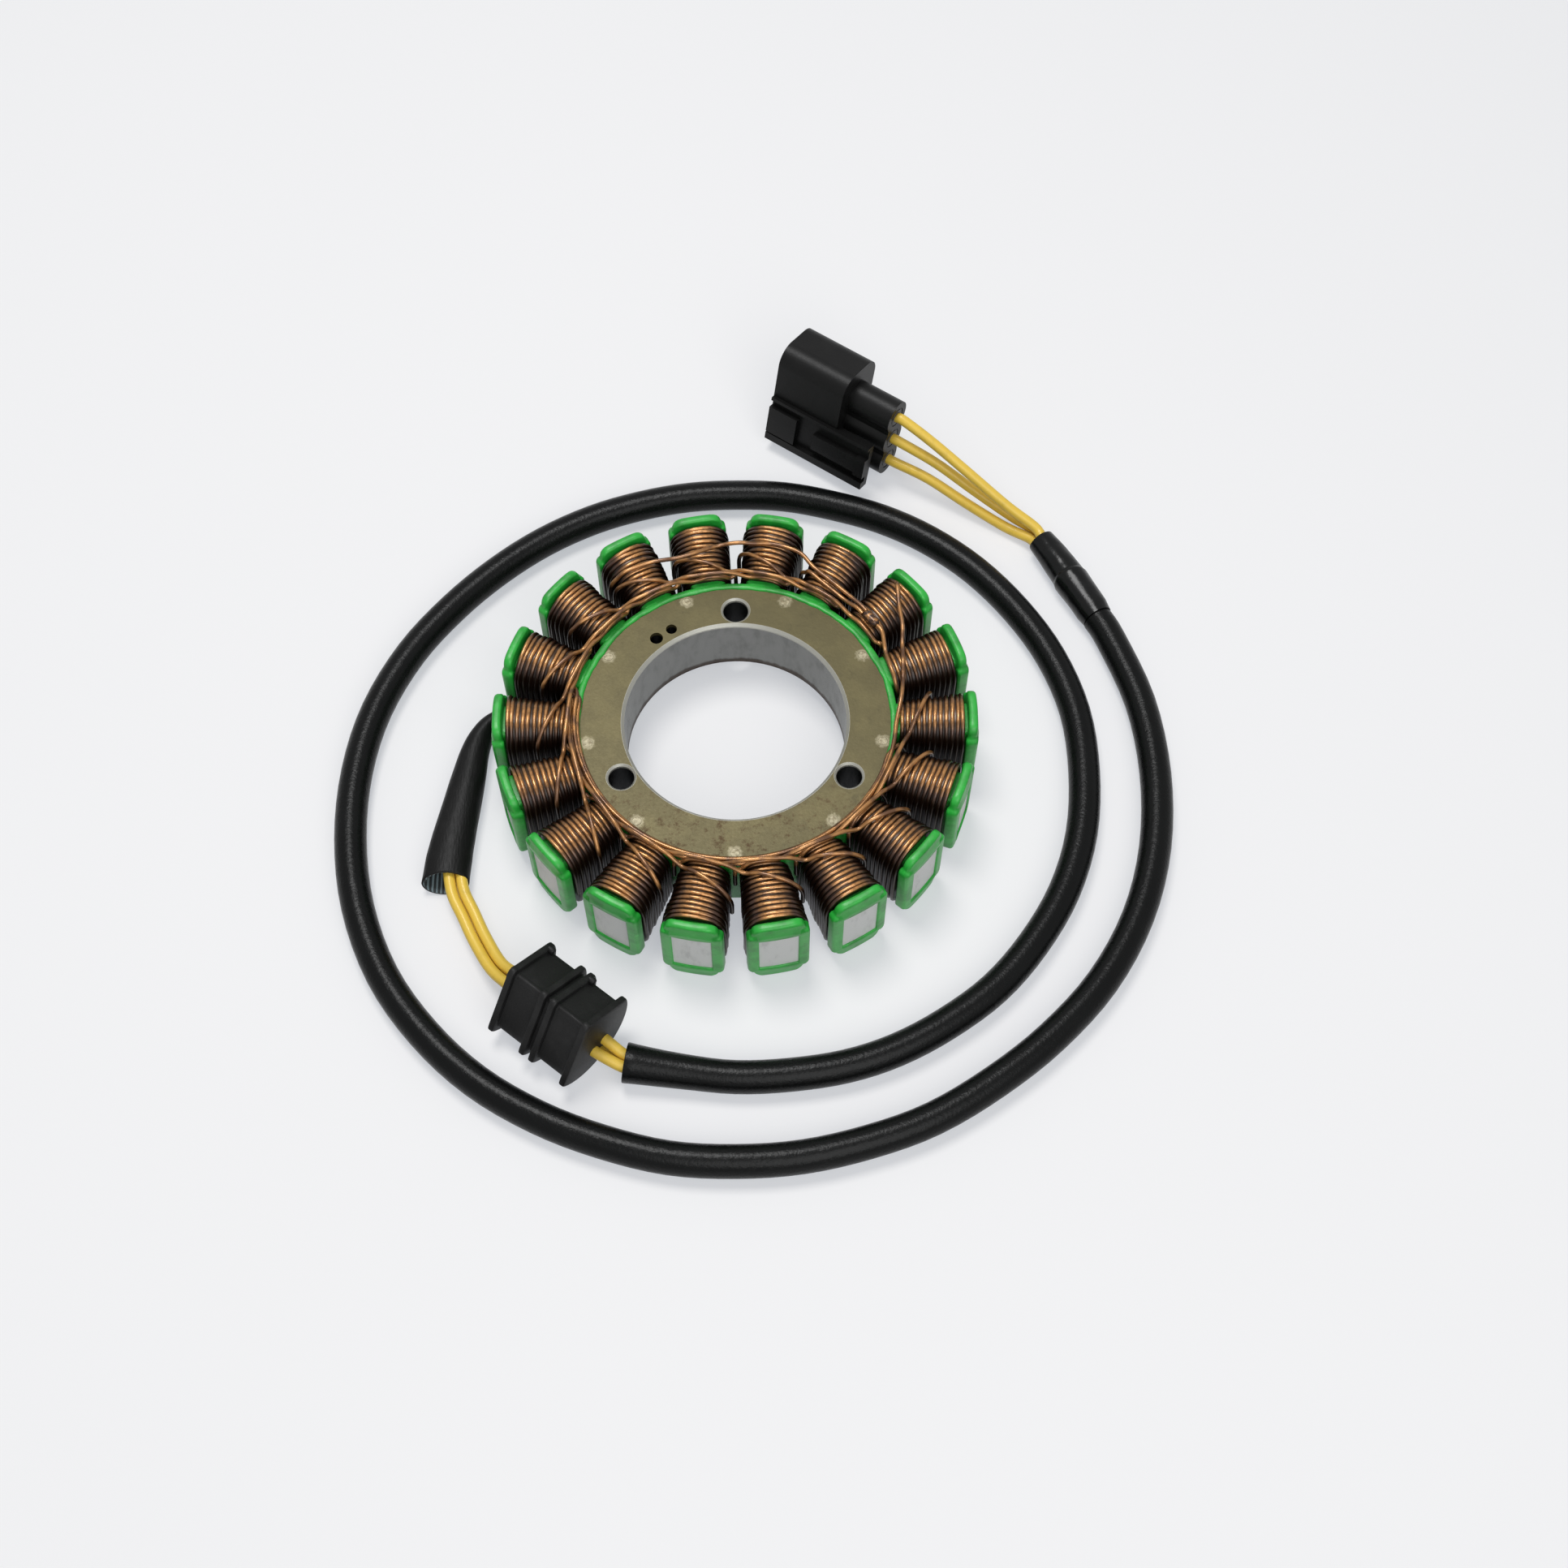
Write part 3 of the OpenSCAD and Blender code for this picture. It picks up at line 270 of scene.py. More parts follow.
class Finish:
    """The nodes that make the look of a material or of the world."""

    def __init__(self, holder):
        holder.use_nodes = True
        self.tree = holder.node_tree
        self.shader = next(n for n in self.tree.nodes if n.type in ("BSDF_PRINCIPLED", "BACKGROUND"))
        self.place = self.node("ShaderNodeTexCoord", output="Object")

    def node(self, kind, settings=None, inputs=None, output=0):
        """Adds a node of a kind, sets it up, fills or links its inputs and gives one of its outputs."""
        made = self.tree.nodes.new(kind)
        for key, value in (settings or {}).items():
            setattr(made, key, value)
        for key, value in (inputs or {}).items():
            self.feed(made.inputs[key], value)
        return Value(self, made.outputs[output])

    def feed(self, socket, value):
        """Links a Value to a socket, or sets a plain value on it."""
        if isinstance(value, Value):
            self.tree.links.new(value.socket, socket)
        elif hasattr(socket.default_value, "__len__") and len(socket.default_value) == 4 and len(value) == 3:
            socket.default_value = (*value, 1)
        else:
            socket.default_value = value

    def set(self, **inputs):
        """Fills the shader's own sockets; an underscore stands for a space."""
        for key, value in inputs.items():
            self.feed(self.shader.inputs[key.replace("_", " ")], value)
        return self

    def math(self, operation, *values):
        return self.node("ShaderNodeMath", {"operation": operation}, dict(enumerate(values)))

    def step(self, value, low, lit_height):
        """Rises smoothly from 0 at low to 1 at high."""
        return self.node(
            "ShaderNodeMapRange", {"interpolation_type": "SMOOTHSTEP"},
            {"Value": value, "From Min": low, "From Max": lit_height})

    def mix(self, first, second, mask):
        """Colour between two, by a mask."""
        return self.node("ShaderNodeMix", {"data_type": "RGBA"}, {0: mask, 6: first, 7: second}, 2)

    def vary(self, colour, factor, mask):
        """Colour that goes over to a multiple of itself, by a mask."""
        return self.mix(colour, times(colour, factor), mask)

    def noise(self, size, detail=3, rough=0.55, stretch=None):
        """Cloudy value with spots of a size in millimetres."""
        place = self.place
        if stretch:
            place = self.node("ShaderNodeVectorMath", {"operation": "MULTIPLY"}, {0: place, 1: stretch})
        return self.node(
            "ShaderNodeTexNoise", None,
            {"Vector": place, "Scale": 1 / (size * MM), "Detail": detail, "Roughness": rough})

    def axis(self, letter):
        """Coordinate along an axis, in metres."""
        return self.node("ShaderNodeSeparateXYZ", None, {0: self.place}, letter)

    def seen(self):
        """1 for what the camera sees, straight or in metal and glass, and 0 for the light on the object."""
        camera, glossy, through = (
            self.node("ShaderNodeLightPath", output=f"Is {kind} Ray")
            for kind in ("Camera", "Glossy", "Transmission"))
        return self.math("MAXIMUM", self.math("MAXIMUM", camera, glossy), through)

    def bump(self, height, depth, strength=1.0):
        """Feeds a relief of a depth in millimetres to the shader's normal."""
        relief = self.node(
            "ShaderNodeBump", None,
            {"Strength": strength, "Distance": depth * MM, "Height": height}, "Normal")
        self.feed(self.shader.inputs["Normal"], relief)


def around(f, x, y, count, first):
    """Distances along and across the nearest of some spokes; first is the angle of one of them."""
    radius = (x * x + y * y) ** 0.5
    pitch = math.tau / count
    turn = f.math("ARCTAN2", y, x) + (2 * math.tau + pitch / 2 - math.radians(first))
    local = f.math("MODULO", turn, pitch) - pitch / 2
    return f.math("COSINE", local) * radius, f.math("SINE", local) * radius


def spots(f, x, y, count, first, from_axis):
    """Distance from the nearest of some spots on a circle, in metres."""
    along, across = around(f, x, y, count, first)
    along = along - from_axis * MM
    return (across * across + along * along) ** 0.5


def olive_plating(f):
    """Dull plated steel with pale marks round the rivets, bare upper chamfers, brown stains and painted shade
    on the lower plate's bore edge.
    """
    x, y, z = f.axis("X"), f.axis("Y"), f.axis("Z")
    cloud = f.noise(9, 4)
    speck = f.noise(0.7, 2)
    c = colours()
    base = f.vary(c.plating, 1.2, f.step(cloud, 0.42, 0.66))
    base = f.mix(base, times(c.plating, 0.74), f.step(f.noise(4, 5, 0.7), 0.54, 0.74) * 0.7)
    front = f.step(y * -1, 0.008, 0.032)
    stained = f.step(f.noise(2.6, 6, 0.75), 0.5, 0.7) * front
    base = f.mix(base, c.stain_and_shade, stained * 0.75)
    ragged = (f.noise(0.9, 3) - 0.5) * 0.0018
    mark = 1 - f.step(spots(f, x, y, 9, -90, 36.75) + ragged, 0.0012, 0.0021)
    base = f.mix(base, srgb(168, 160, 134), mark * 0.5)
    chamfer = 1 - f.step(spots(f, x, y, 3, 90, 32), 0.00366, 0.0038)
    rim = 1 - f.step((x * x + y * y) ** 0.5, 0.02816, 0.0283)
    upper = f.step(z, (MID_Z - 1) * MM, (MID_Z + 1) * MM)
    bare = f.math("MAXIMUM", chamfer, rim) * upper
    base = f.mix(base, srgb(190, 190, 182), bare * 0.8)
    # Painted shade: the lower plate's bore edge is darkened
    base = f.mix(base, times(c.stain_and_shade, 0.35), rim * (1 - upper))
    f.set(Base_Color=base, Metallic=0.55, Roughness=0.38 + speck * 0.14 + stained * 0.2)
    f.bump(speck + f.noise(0.25, 2) * 0.6, 0.03, 0.6)


def core_sheets(f):
    """Edges of the core's thin steel sheets: grey in the bore, ground steel in the poles' windows with a
    painted reflection of the pale floor, and painted shade at the bore's foot and in the bolt holes.
    """
    x, y, z = f.axis("X"), f.axis("Y"), f.axis("Z")
    radius = (x * x + y * y) ** 0.5
    window = f.step(radius, 0.056, 0.058)
    sheet = f.math("PINGPONG", z / (0.5 * MM), 0.5)
    seam = 1 - f.step(sheet, 0.02, 0.14)
    smear = f.noise(3, 4, 0.6, (1, 1, 0.4))
    c = colours()
    base = f.vary(c.core, 0.62, f.step(smear, 0.45, 0.75) * 0.6)
    # Painted reflection: the ground windows get a pale, nearly non-metal colour that stands in for the floor
    # they reflect
    base = f.mix(base, srgb(226, 228, 228), window * (1 - f.step(smear, 0.5, 0.8) * 0.3))
    base = f.mix(base, times(c.core, 0.4), seam * (0.3 - window * 0.22))
    # Painted shade: a dark band along the foot of the bore
    foot_shade = 1 - f.step(z - smear * 0.002, (STACK_LOW + 0.9) * MM, (STACK_LOW + 2.1) * MM)
    base = f.mix(base, times(c.stain_and_shade, 0.4), foot_shade * (1 - window) * 0.85)
    # Painted shade: the bolt holes' walls are made nearly black
    hole_shade = f.step(radius, 0.0282, 0.0286) * (1 - window)
    base = f.mix(base, times(c.core, 0.03), hole_shade)
    f.set(Base_Color=base, Metallic=0.7 - window * 0.65, Roughness=0.36 + smear * 0.2)
    f.bump(1 - seam, 0.04, 0.5)


def rivet_steel(f):
    """Worn end of a peened rivet."""
    cloud = f.noise(0.8, 3)
    f.set(Base_Color=f.mix(srgb(164, 156, 130), srgb(122, 112, 86), f.step(cloud, 0.4, 0.7)),
          Metallic=0.45, Roughness=0.42 + cloud * 0.15)
    f.bump(cloud, 0.08)


def green_epoxy(f):
    """Thick glossy coating with an uneven skin."""
    c = colours()
    cloud = f.noise(5, 3)
    base = f.vary(c.coating, 0.62, f.step(cloud, 0.4, 0.72))
    base = f.mix(base, [min(v * 1.5 + 0.02, 1) for v in c.coating], f.step(f.noise(1.7, 3), 0.6, 0.8) * 0.5)
    f.set(Base_Color=base, Roughness=0.36 + cloud * 0.12, Coat_Weight=0.15, Coat_Roughness=0.25)
    f.bump(f.noise(1.6, 2), 0.12, 0.55)


def enamelled_copper(f):
    """Loose copper wire under clear enamel, with painted shade where it dips between the coils."""
    c = colours()
    rise = f.math("ABSOLUTE", f.axis("Z") - MID_Z * MM)
    lit_height = f.step(rise, (HALF_H - 1.5) * MM, (HALF_H + 0.6) * MM)
    patch = f.noise(5, 3, 0.5)
    base = f.mix(times(c.enamel, 0.85), times(c.varnish_and_shade, 1.9), f.step(patch, 0.4, 0.62) * 0.85)
    # Painted shade: wire below the coils' tops is darkened
    base = f.mix(times(c.varnish_and_shade, 0.5), base, lit_height)
    f.set(Base_Color=base, Metallic=0.6, Roughness=0.26 + patch * 0.14, Coat_Weight=0.4, Coat_Roughness=0.15)
    f.bump(patch, 0.05, 0.4)


def wound_copper(f):
    """Turns of a coil: a painted highlight in gold along the crest, brown painted shade beside it, and darker
    painted shade on the flanks and between the turns.
    """
    c = colours()
    along, across = around(f, f.axis("X"), f.axis("Y"), POLES, 0)
    rise = f.math("ABSOLUTE", f.axis("Z") - MID_Z * MM)
    beside = f.math("ABSOLUTE", across)
    side = f.math("MAXIMUM", beside - (HALF_W - CORNER_IN) * MM, 0)
    over = f.math("MAXIMUM", rise - (HALF_H - CORNER_IN) * MM, 0)
    slope = (LAY_OUT - LAY_IN) / COIL_LEN
    crest = (along - COIL_IN * MM) * slope + (LAY_IN + CORNER_IN) * MM
    sunk = crest - (side * side + over * over) ** 0.5
    patch = f.noise(3.2, 4, 0.6)
    streak = f.noise(0.9, 3)
    # Painted shade in the valleys between turns
    valley_shade = f.step(sunk, 0.0003, 0.0007)
    # Painted shade on the flanks below the coil's top
    crown_lit = f.step(rise, (HALF_H - 0.6) * MM, (HALF_H + 2) * MM)
    # Painted highlight along the middle of the crest
    crest_highlight = 1 - f.step(beside + (patch - 0.5) * 0.003, 0.0014, 0.0052)
    gold = f.vary(c.enamel, 0.62, f.step(streak, 0.42, 0.66))
    gold = f.mix(gold, c.varnish_and_shade, f.step(patch, 0.54, 0.76) * 0.6)
    base = f.mix(times(c.varnish_and_shade, 1.3), gold, crest_highlight)
    base = f.mix(times(c.varnish_and_shade, 0.4), base, crown_lit)
    base = f.mix(base, times(c.varnish_and_shade, 0.2), valley_shade * 0.92)
    f.set(Base_Color=base, Metallic=0.7 - valley_shade * 0.4, Roughness=0.24 + patch * 0.16,
          Coat_Weight=0.6 * crown_lit * (1 - valley_shade), Coat_Roughness=0.12)
    f.bump(streak, 0.05, 0.5)


def varnished_solder(f):
    """Soldered joint under dark varnish."""
    c = colours()
    lump = f.noise(1.1, 3)
    f.set(Base_Color=f.mix(c.varnish_and_shade, c.enamel, f.step(lump, 0.42, 0.7)),
          Metallic=0.5, Roughness=0.3 + lump * 0.2, Coat_Weight=0.4)
    f.bump(lump, 0.3)


def yellow_insulation(f):
    """Satin insulation with slight handling marks."""
    c = colours()
    grime = f.noise(4, 4, 0.65)
    base = f.vary(c.insulation, 0.72, f.step(grime, 0.5, 0.78) * 0.6)
    f.set(Base_Color=base, Roughness=0.34 + grime * 0.15, Coat_Weight=0.1)
    f.bump(f.noise(0.6, 2), 0.04, 0.5)


def black_vinyl(f):
    """Sheath with a pebbled grain that breaks its highlights up."""
    c = colours()
    grain = f.noise(0.75, 3, 0.6)
    cloud = f.noise(11, 2)
    base = f.vary(c.vinyl, 1.8, f.step(cloud, 0.4, 0.75) * 0.5)
    f.set(Base_Color=base, Roughness=0.2 + grain * 0.16, Specular_IOR_Level=0.16)
    f.bump(grain, 0.12, 0.7)


def black_tape(f):
    """Shiny smooth tape."""
    c = colours()
    crease = f.noise(2.6, 3, 0.6)
    f.set(Base_Color=f.vary(c.vinyl, 2, f.step(crease, 0.5, 0.8)),
          Roughness=0.16 + crease * 0.14, Specular_IOR_Level=0.26)
    f.bump(crease, 0.16, 0.6)


def black_rubber(f):
    """Moulded rubber with a bloom on it."""
    c = colours()
    bloom = f.noise(6, 4, 0.6)
    grain = f.noise(0.45, 2)
    f.set(Base_Color=f.vary(c.rubber, 1.8, f.step(bloom, 0.42, 0.75)),
          Roughness=0.42 + grain * 0.14, Specular_IOR_Level=0.24)
    f.bump(grain, 0.05, 0.6)


def black_nylon(f):
    """Moulded nylon with a fine spark grain."""
    c = colours()
    grain = f.noise(0.4, 2)
    cloud = f.noise(7, 3)
    f.set(Base_Color=f.vary(c.nylon, 1.6, f.step(cloud, 0.42, 0.72)),
          Roughness=0.34 + grain * 0.14, Specular_IOR_Level=0.22)
    f.bump(grain, 0.05, 0.5)


def seal_rubber(f):
    """Grey seal rubber."""
    bloom = f.noise(2, 3)
    f.set(Base_Color=f.mix(srgb(58, 58, 60), srgb(84, 84, 86), f.step(bloom, 0.4, 0.7)),
          Roughness=0.5 + bloom * 0.1)
    f.bump(bloom, 0.05)


def black_fibre(f):
    """Matte impregnated fibre with a faint weave."""
    c = colours()
    thread = f.noise(0.5, 2, 0.5, (1, 0.22, 1))
    cloud = f.noise(5, 4, 0.6)
    base = f.vary(c.fibre, 1.9, f.step(cloud, 0.42, 0.78))
    f.set(Base_Color=base, Roughness=0.38 + thread * 0.16, Specular_IOR_Level=0.2)
    f.bump(thread, 0.12, 0.7)


def ribbed_lining(f):
    """Pale inside of the sleeve with painted shade in the grooves along it."""
    c = colours()
    cloud = f.noise(1.5, 3)
    groove_shade = f.step(f.math("PINGPONG", f.axis("X") / (0.5 * MM), 1), 0.35, 0.65)
    # Painted shade in the grooves between the ribs
    f.set(Base_Color=f.vary(c.lining, 0.12, groove_shade), Roughness=0.6 + cloud * 0.1)
    f.bump(1 - groove_shade, 0.2)


def tinned_copper(f):
    """Tinned metal with small dents."""
    c = colours()
    dent = f.noise(1.2, 3)
    f.set(Base_Color=f.vary(c.tin, 0.7, f.step(dent, 0.4, 0.7)),
          Metallic=0.9, Roughness=0.24 + dent * 0.2)
    f.bump(dent, 0.06, 0.6)


def pale_floor(f):
    """Plain pale floor that glows a little where it is seen, so that the shadows stay light."""
    cloud = f.noise(180, 2)
    floor = bpy.context.scene.stator_stage.floor
    lit = [v * part for v, part in zip(floor, FLOOR_LIT)]
    f.set(Base_Color=f.vary(lit, 0.98, cloud), Roughness=0.72 + cloud * 0.05, Specular_IOR_Level=0.2,
          Emission_Color=f.mix((0, 0, 0), FLOOR_GLOW, f.seen()), Emission_Strength=1.0)


FINISHES = {look.__name__: look for look in (
    olive_plating, core_sheets, rivet_steel, green_epoxy, enamelled_copper, wound_copper, varnished_solder,
    yellow_insulation, black_vinyl, black_tape, black_rubber, black_nylon, seal_rubber, black_fibre,
    ribbed_lining, tinned_copper, pale_floor)}


def finish(name):
    """The material of a look, made at its first use."""
    title = f"{name}_look"
    found = bpy.data.materials.get(title)
    if found is None:
        found = bpy.data.materials.new(title)
        FINISHES[name](Finish(found))
    return found


# Paths and shapes, in millimetres


def polar(angle, radius, z):
    a = math.radians(angle)
    return Vector((radius * math.cos(a), radius * math.sin(a), z))


def spun(points, k):
    """Points turned about the bore's axis by a number of poles."""
    spin = Matrix.Rotation(math.radians(k * PITCH), 3, "Z")
    return [spin @ p for p in points]


def smooth(points, steps):
    """Smooth curve through points, with some steps between neighbours."""
    p = [Vector(v) for v in points]
    last = len(p) - 1
    out = []
    for i in range(last):
        a, b, c, d = p[max(i - 1, 0)], p[i], p[i + 1], p[min(i + 2, last)]
        for j in range(steps):
            t = j / steps
            out.append(0.5 * (2 * b + (c - a) * t + (2 * a - 5 * b + 4 * c - d) * t ** 2
                              + (3 * b - a - 3 * c + d) * t ** 3))
    out.append(p[last])
    return out


def path_length(path):
    return sum((b - a).length for a, b in zip(path, path[1:]))


def tangents(path):
    last = len(path) - 1
    return [(path[min(i + 1, last)] - path[max(i - 1, 0)]).normalized() for i in range(last + 1)]


def carried(path):
    """Two cross directions at each point of a path, carried along without twist."""
    t = tangents(path)
    u = Vector((0, 0, 1)) if abs(t[0].z) < 0.8 else Vector((t[0].y, -t[0].x, 0.1))
    out = []
    for v in t:
        u = (u - u.dot(v) * v).normalized()
        out.append((u, v.cross(u)))
    return out


def level(path):
    """Leftward and upward directions of a path that runs nearly level."""
    out = []
    for v in tangents(path):
        left = Vector((0, 0, 1)).cross(v).normalized()
        out.append((left, v.cross(left)))
    return out


def blend(values, place):
    """Value at a place between listed ones; place counts from 0 to the last."""
    i = min(int(place), len(values) - 2)
    return values[i] + (values[i + 1] - values[i]) * (place - i)


def wander(*seed):
    """Smooth number between about -1 and 1 that goes with up to three others."""
    return noise.noise(Vector((*seed, 0.37, 0.71)[:3]))


def turns(count):
    """Angles of the corners of a round section."""
    return [math.tau * (j + 0.5) / count for j in range(count)]


def circle(at, u, v, radius, count):
    """Points round a centre, across two directions."""
    return [at + radius * (math.cos(a) * u + math.sin(a) * v) for a in turns(count)]


class Shape:
    """Points and faces of a piece while it is made."""

    def __init__(self):
        self.points = []
        self.faces = []

    def loft(self, loops, first=False, last=False):
        """Skins closed loops of equally many points; first and last close the ends."""
        start = len(self.points)
        n = len(loops[0])
        for loop in loops:
            self.points.extend(loop)
        for i in range(len(loops) - 1):
            for j in range(n):
                a, b = start + i * n + j, start + i * n + (j + 1) % n
                self.faces.append((a, b, b + n, a + n))
        if first:
            self.faces.append(tuple(start + j for j in reversed(range(n))))
        if last:
            end = start + (len(loops) - 1) * n
            self.faces.append(tuple(end + j for j in range(n)))

    def tube(self, path, radius, count, hollow=None):
        """Round tube along a path. hollow gives the wall and the depth of an open first end."""
        radii = radius if isinstance(radius, list) else [radius] * len(path)
        dirs = carried(path)

        def loop(i, r, shift=0.0):
            u, v = dirs[i]
            return circle(path[i] + v.cross(u) * -shift, u, v, r, count)
        loops = [loop(i, r) for i, r in enumerate(radii)]
        if hollow:
            wall, depth = hollow
            r = radii[0]
            loops[:1] = [loop(0, r - wall, depth), loop(0, r - wall), loop(0, r - wall * 0.6, -0.12),
                         loop(0, r - wall * 0.15, -0.05), loop(0, r, 0.25)]
        self.loft(loops, True, True)

    def turned(self):
        """Repeats what is there on every pole."""
        points, faces = self.points, self.faces
        self.points, self.faces = [], []
        for k in range(POLES):
            start = len(self.points)
            self.points.extend(spun(points, k))
            self.faces.extend(tuple(start + i for i in f) for f in faces)

    def piece(self, name, look, nodes=(), sharp=None):
        """Makes the piece: an object that rides on the stator and stands for some of its solids."""
        mesh = bpy.data.meshes.new(name)
        mesh.from_pydata([Vector(p) * MM for p in self.points], [], self.faces)
        if mesh.validate():
            raise RuntimeError(f"{name} has faulty faces")
        mesh.shade_smooth()
        if sharp:
            mesh.set_sharp_from_angle(angle=math.radians(sharp))
        mesh.materials.append(finish(look))
        made = bpy.data.objects.new(name, mesh)
        bpy.context.scene.collection.objects.link(made)
        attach(made, "root")
        if nodes:
            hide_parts(*nodes)
        return made


def dress(node, look, bevel=0.0):
    """Gives a solid its finish and, where bevel is given, softened edges."""
    solid = NODES[node]
    solid.data.materials.clear()
    solid.data.materials.append(finish(look))
    if bevel:
        soft = solid.modifiers.new("soft_edges", "BEVEL")
        soft.width = bevel * MM
        soft.segments = 2
        soft.limit_method = "ANGLE"
        soft.angle_limit = math.radians(35)
        soft.harden_normals = True


def declare(path):
    """Works out a cord's route in metres and its length, and keeps neither."""
    route = [list(p * MM) for p in path]
    path_length(path) * MM


# Places on the windings, in the harness and in the connector


def lay_at(x):
    return LAY_IN + (LAY_OUT - LAY_IN) * (x - COIL_IN) / COIL_LEN


def on_coil(turn, radius, lift=0.0):
    """Place of a wire that lies on the nearest coil; turn counts in poles."""
    angle = turn * PITCH
    off = math.radians(angle - PITCH * round(angle / PITCH))
    reach = lay_at(max(radius * math.cos(off), COIL_IN)) + WIRE_RIDE
    past = max(abs(radius * math.sin(off)) - HALF_W + CORNER_IN, 0)
    rise = math.sqrt(max((CORNER_IN + reach) ** 2 - past ** 2, 0))
    return polar(angle, radius, MID_Z + HALF_H - CORNER_IN + rise + lift)


def on_tops(turn, radius, lift=0.0):
    """Place of a wire at the height of the coils' tops; turn counts in poles."""
    return polar(turn * PITCH, radius, MID_Z + HALF_H + lay_at(radius) + WIRE_RIDE + lift)


def jumper_route():
    leave = 1.75 * PITCH

    def reach(turn):
        return LANE_R / math.cos(math.radians(turn * PITCH - leave))
    return [
        polar(0.5 * PITCH, COIL_IN + 1.6, STACK_TOP - 5), polar(0.5 * PITCH, COIL_IN + 1.4, STACK_TOP - 1.2),
        polar(0.515 * PITCH, COIL_IN + 1, MID_Z + HALF_H + 0.45), on_coil(0.6, COIL_IN + 0.4, 0.1),
        on_coil(0.75, LANE_R), on_coil(1, LANE_R, -0.2), on_coil(1.25, LANE_R, -0.2),
        *(polar(m * PITCH, reach(max(m, 1.75)), LANE_Z + rise * WIRE_D) for m, rise in (
            (1.5, 0.42), (1.65, 0.98), (1.8, 1.14), (2, 1.1), (2.2, 0.75), (2.4, 0.35))),
        *(on_coil(m, reach(m)) for m in (2.65, 2.85, 3.05, 3.25, 3.36, 3.42)),
        polar(3.453 * PITCH, reach(3.44), STACK_TOP - 2.5), polar(3.453 * PITCH, reach(3.44), STACK_TOP - 7)]


SPLICE_DIR = (SPLICE_TO - SPLICE_FROM).normalized()
SPLICE_LEFT = Vector((0, 0, 1)).cross(SPLICE_DIR).normalized()


def lane_shift(i, left, spread=1.0):
    return spread * (LANES[i][0] * left + Vector((0, 0, LANES[i][1])))


def splice_start(i):
    return SPLICE_FROM + lane_shift(i, SPLICE_LEFT) - 0.05 * SPLICE_DIR


def tail_start(phase):
    if phase == 2:
        return [
            on_coil(2.12, COIL_OUT - 0.6, -1), on_coil(2.09, COIL_OUT - 1.4, -0.1),
            on_coil(2, COIL_OUT - 2.7), on_coil(1.83, COIL_OUT - 4.9),
            on_tops(1.52, COIL_IN + 7.6), on_coil(1.27, COIL_IN + 5.2),
            on_coil(0.98, COIL_IN + 3.3), on_coil(0.7, COIL_IN + 1.9, 0.15),
            polar(0.5 * PITCH, COIL_IN + 1, LANE_Z), polar(0.25 * PITCH, COIL_IN - 0.05, LANE_Z),
            polar(0.05 * PITCH, COIL_IN - 0.8, TAIL_Z[2] + 0.15)]
    a = (POLES - 1.5 + phase) * PITCH
    return [polar(a, COIL_IN + 1.6, MID_Z + 3), polar(a, COIL_IN + 0.9, STACK_TOP - 2.5),
            polar(a - 0.08 * PITCH, DROP_R, RIM_Z - 0.1)]


def tail_path(phase):
    """Route of a phase's tail: round the rim, down the ring's wall and out to its splice."""
    drop = EXIT_ANGLE + (1 - phase) * 2.2
    lane_from = (POLES - 0.2) * PITCH if phase == 2 else (POLES - 1.8 + phase) * PITCH
    lane_to = drop + (0.1 if phase == 1 else 0.17) * PITCH
    steps = round((lane_from - lane_to) / 6)
    rank = (0, 1, -1)[phase]
    out_z = MID_Z - 7 + 3 * rank
    mid_r = (COIL_IN + COIL_OUT) / 2
    lane = [lane_from + (lane_to - lane_from) * i / steps for i in range(steps + 1)]
    return tail_start(phase) + [polar(a, TAIL_R[phase], TAIL_Z[phase]) for a in lane] + [
        polar(drop + 0.01 * PITCH, DROP_R, RIM_Z + 0.1), polar(drop, DROP_R, STACK_TOP - 3),
        polar(drop, DROP_R, out_z + 2.4), polar(EXIT_ANGLE + 0.3 * (drop - EXIT_ANGLE), DROP_R, out_z + 0.8),
        polar(EXIT_ANGLE, COIL_IN + 1.5, out_z), polar(EXIT_ANGLE, mid_r, out_z - 1),
        polar(EXIT_ANGLE, SHOE_IN_R - 2, 5.6 + 1.4 * rank), polar(EXIT_ANGLE, FACE_R - 1, 5.2 + 1.3 * rank),
        Vector((-62.3, 9.4, 4.7 + 1.25 * rank)), Vector((-65, 5.7, 4.4 + 1.25 * rank)),
        Vector((-66.7, 0.5, 4.2 + 1.2 * rank)), splice_start(phase) - 4 * SPLICE_DIR, splice_start(phase)]


STAR_ANGLE = 1.9 * PITCH
STAR_R = COIL_IN + 2.2
STAR_LEN = 5.0
STAR_Z = MID_Z + HALF_H + lay_at(STAR_R) + 1.3 + 0.2


def star_point(x, y, z):
    a = math.radians(STAR_ANGLE)
    return polar(STAR_ANGLE, STAR_R + y, STAR_Z + z) + x * Vector((math.sin(a), -math.cos(a), 0))


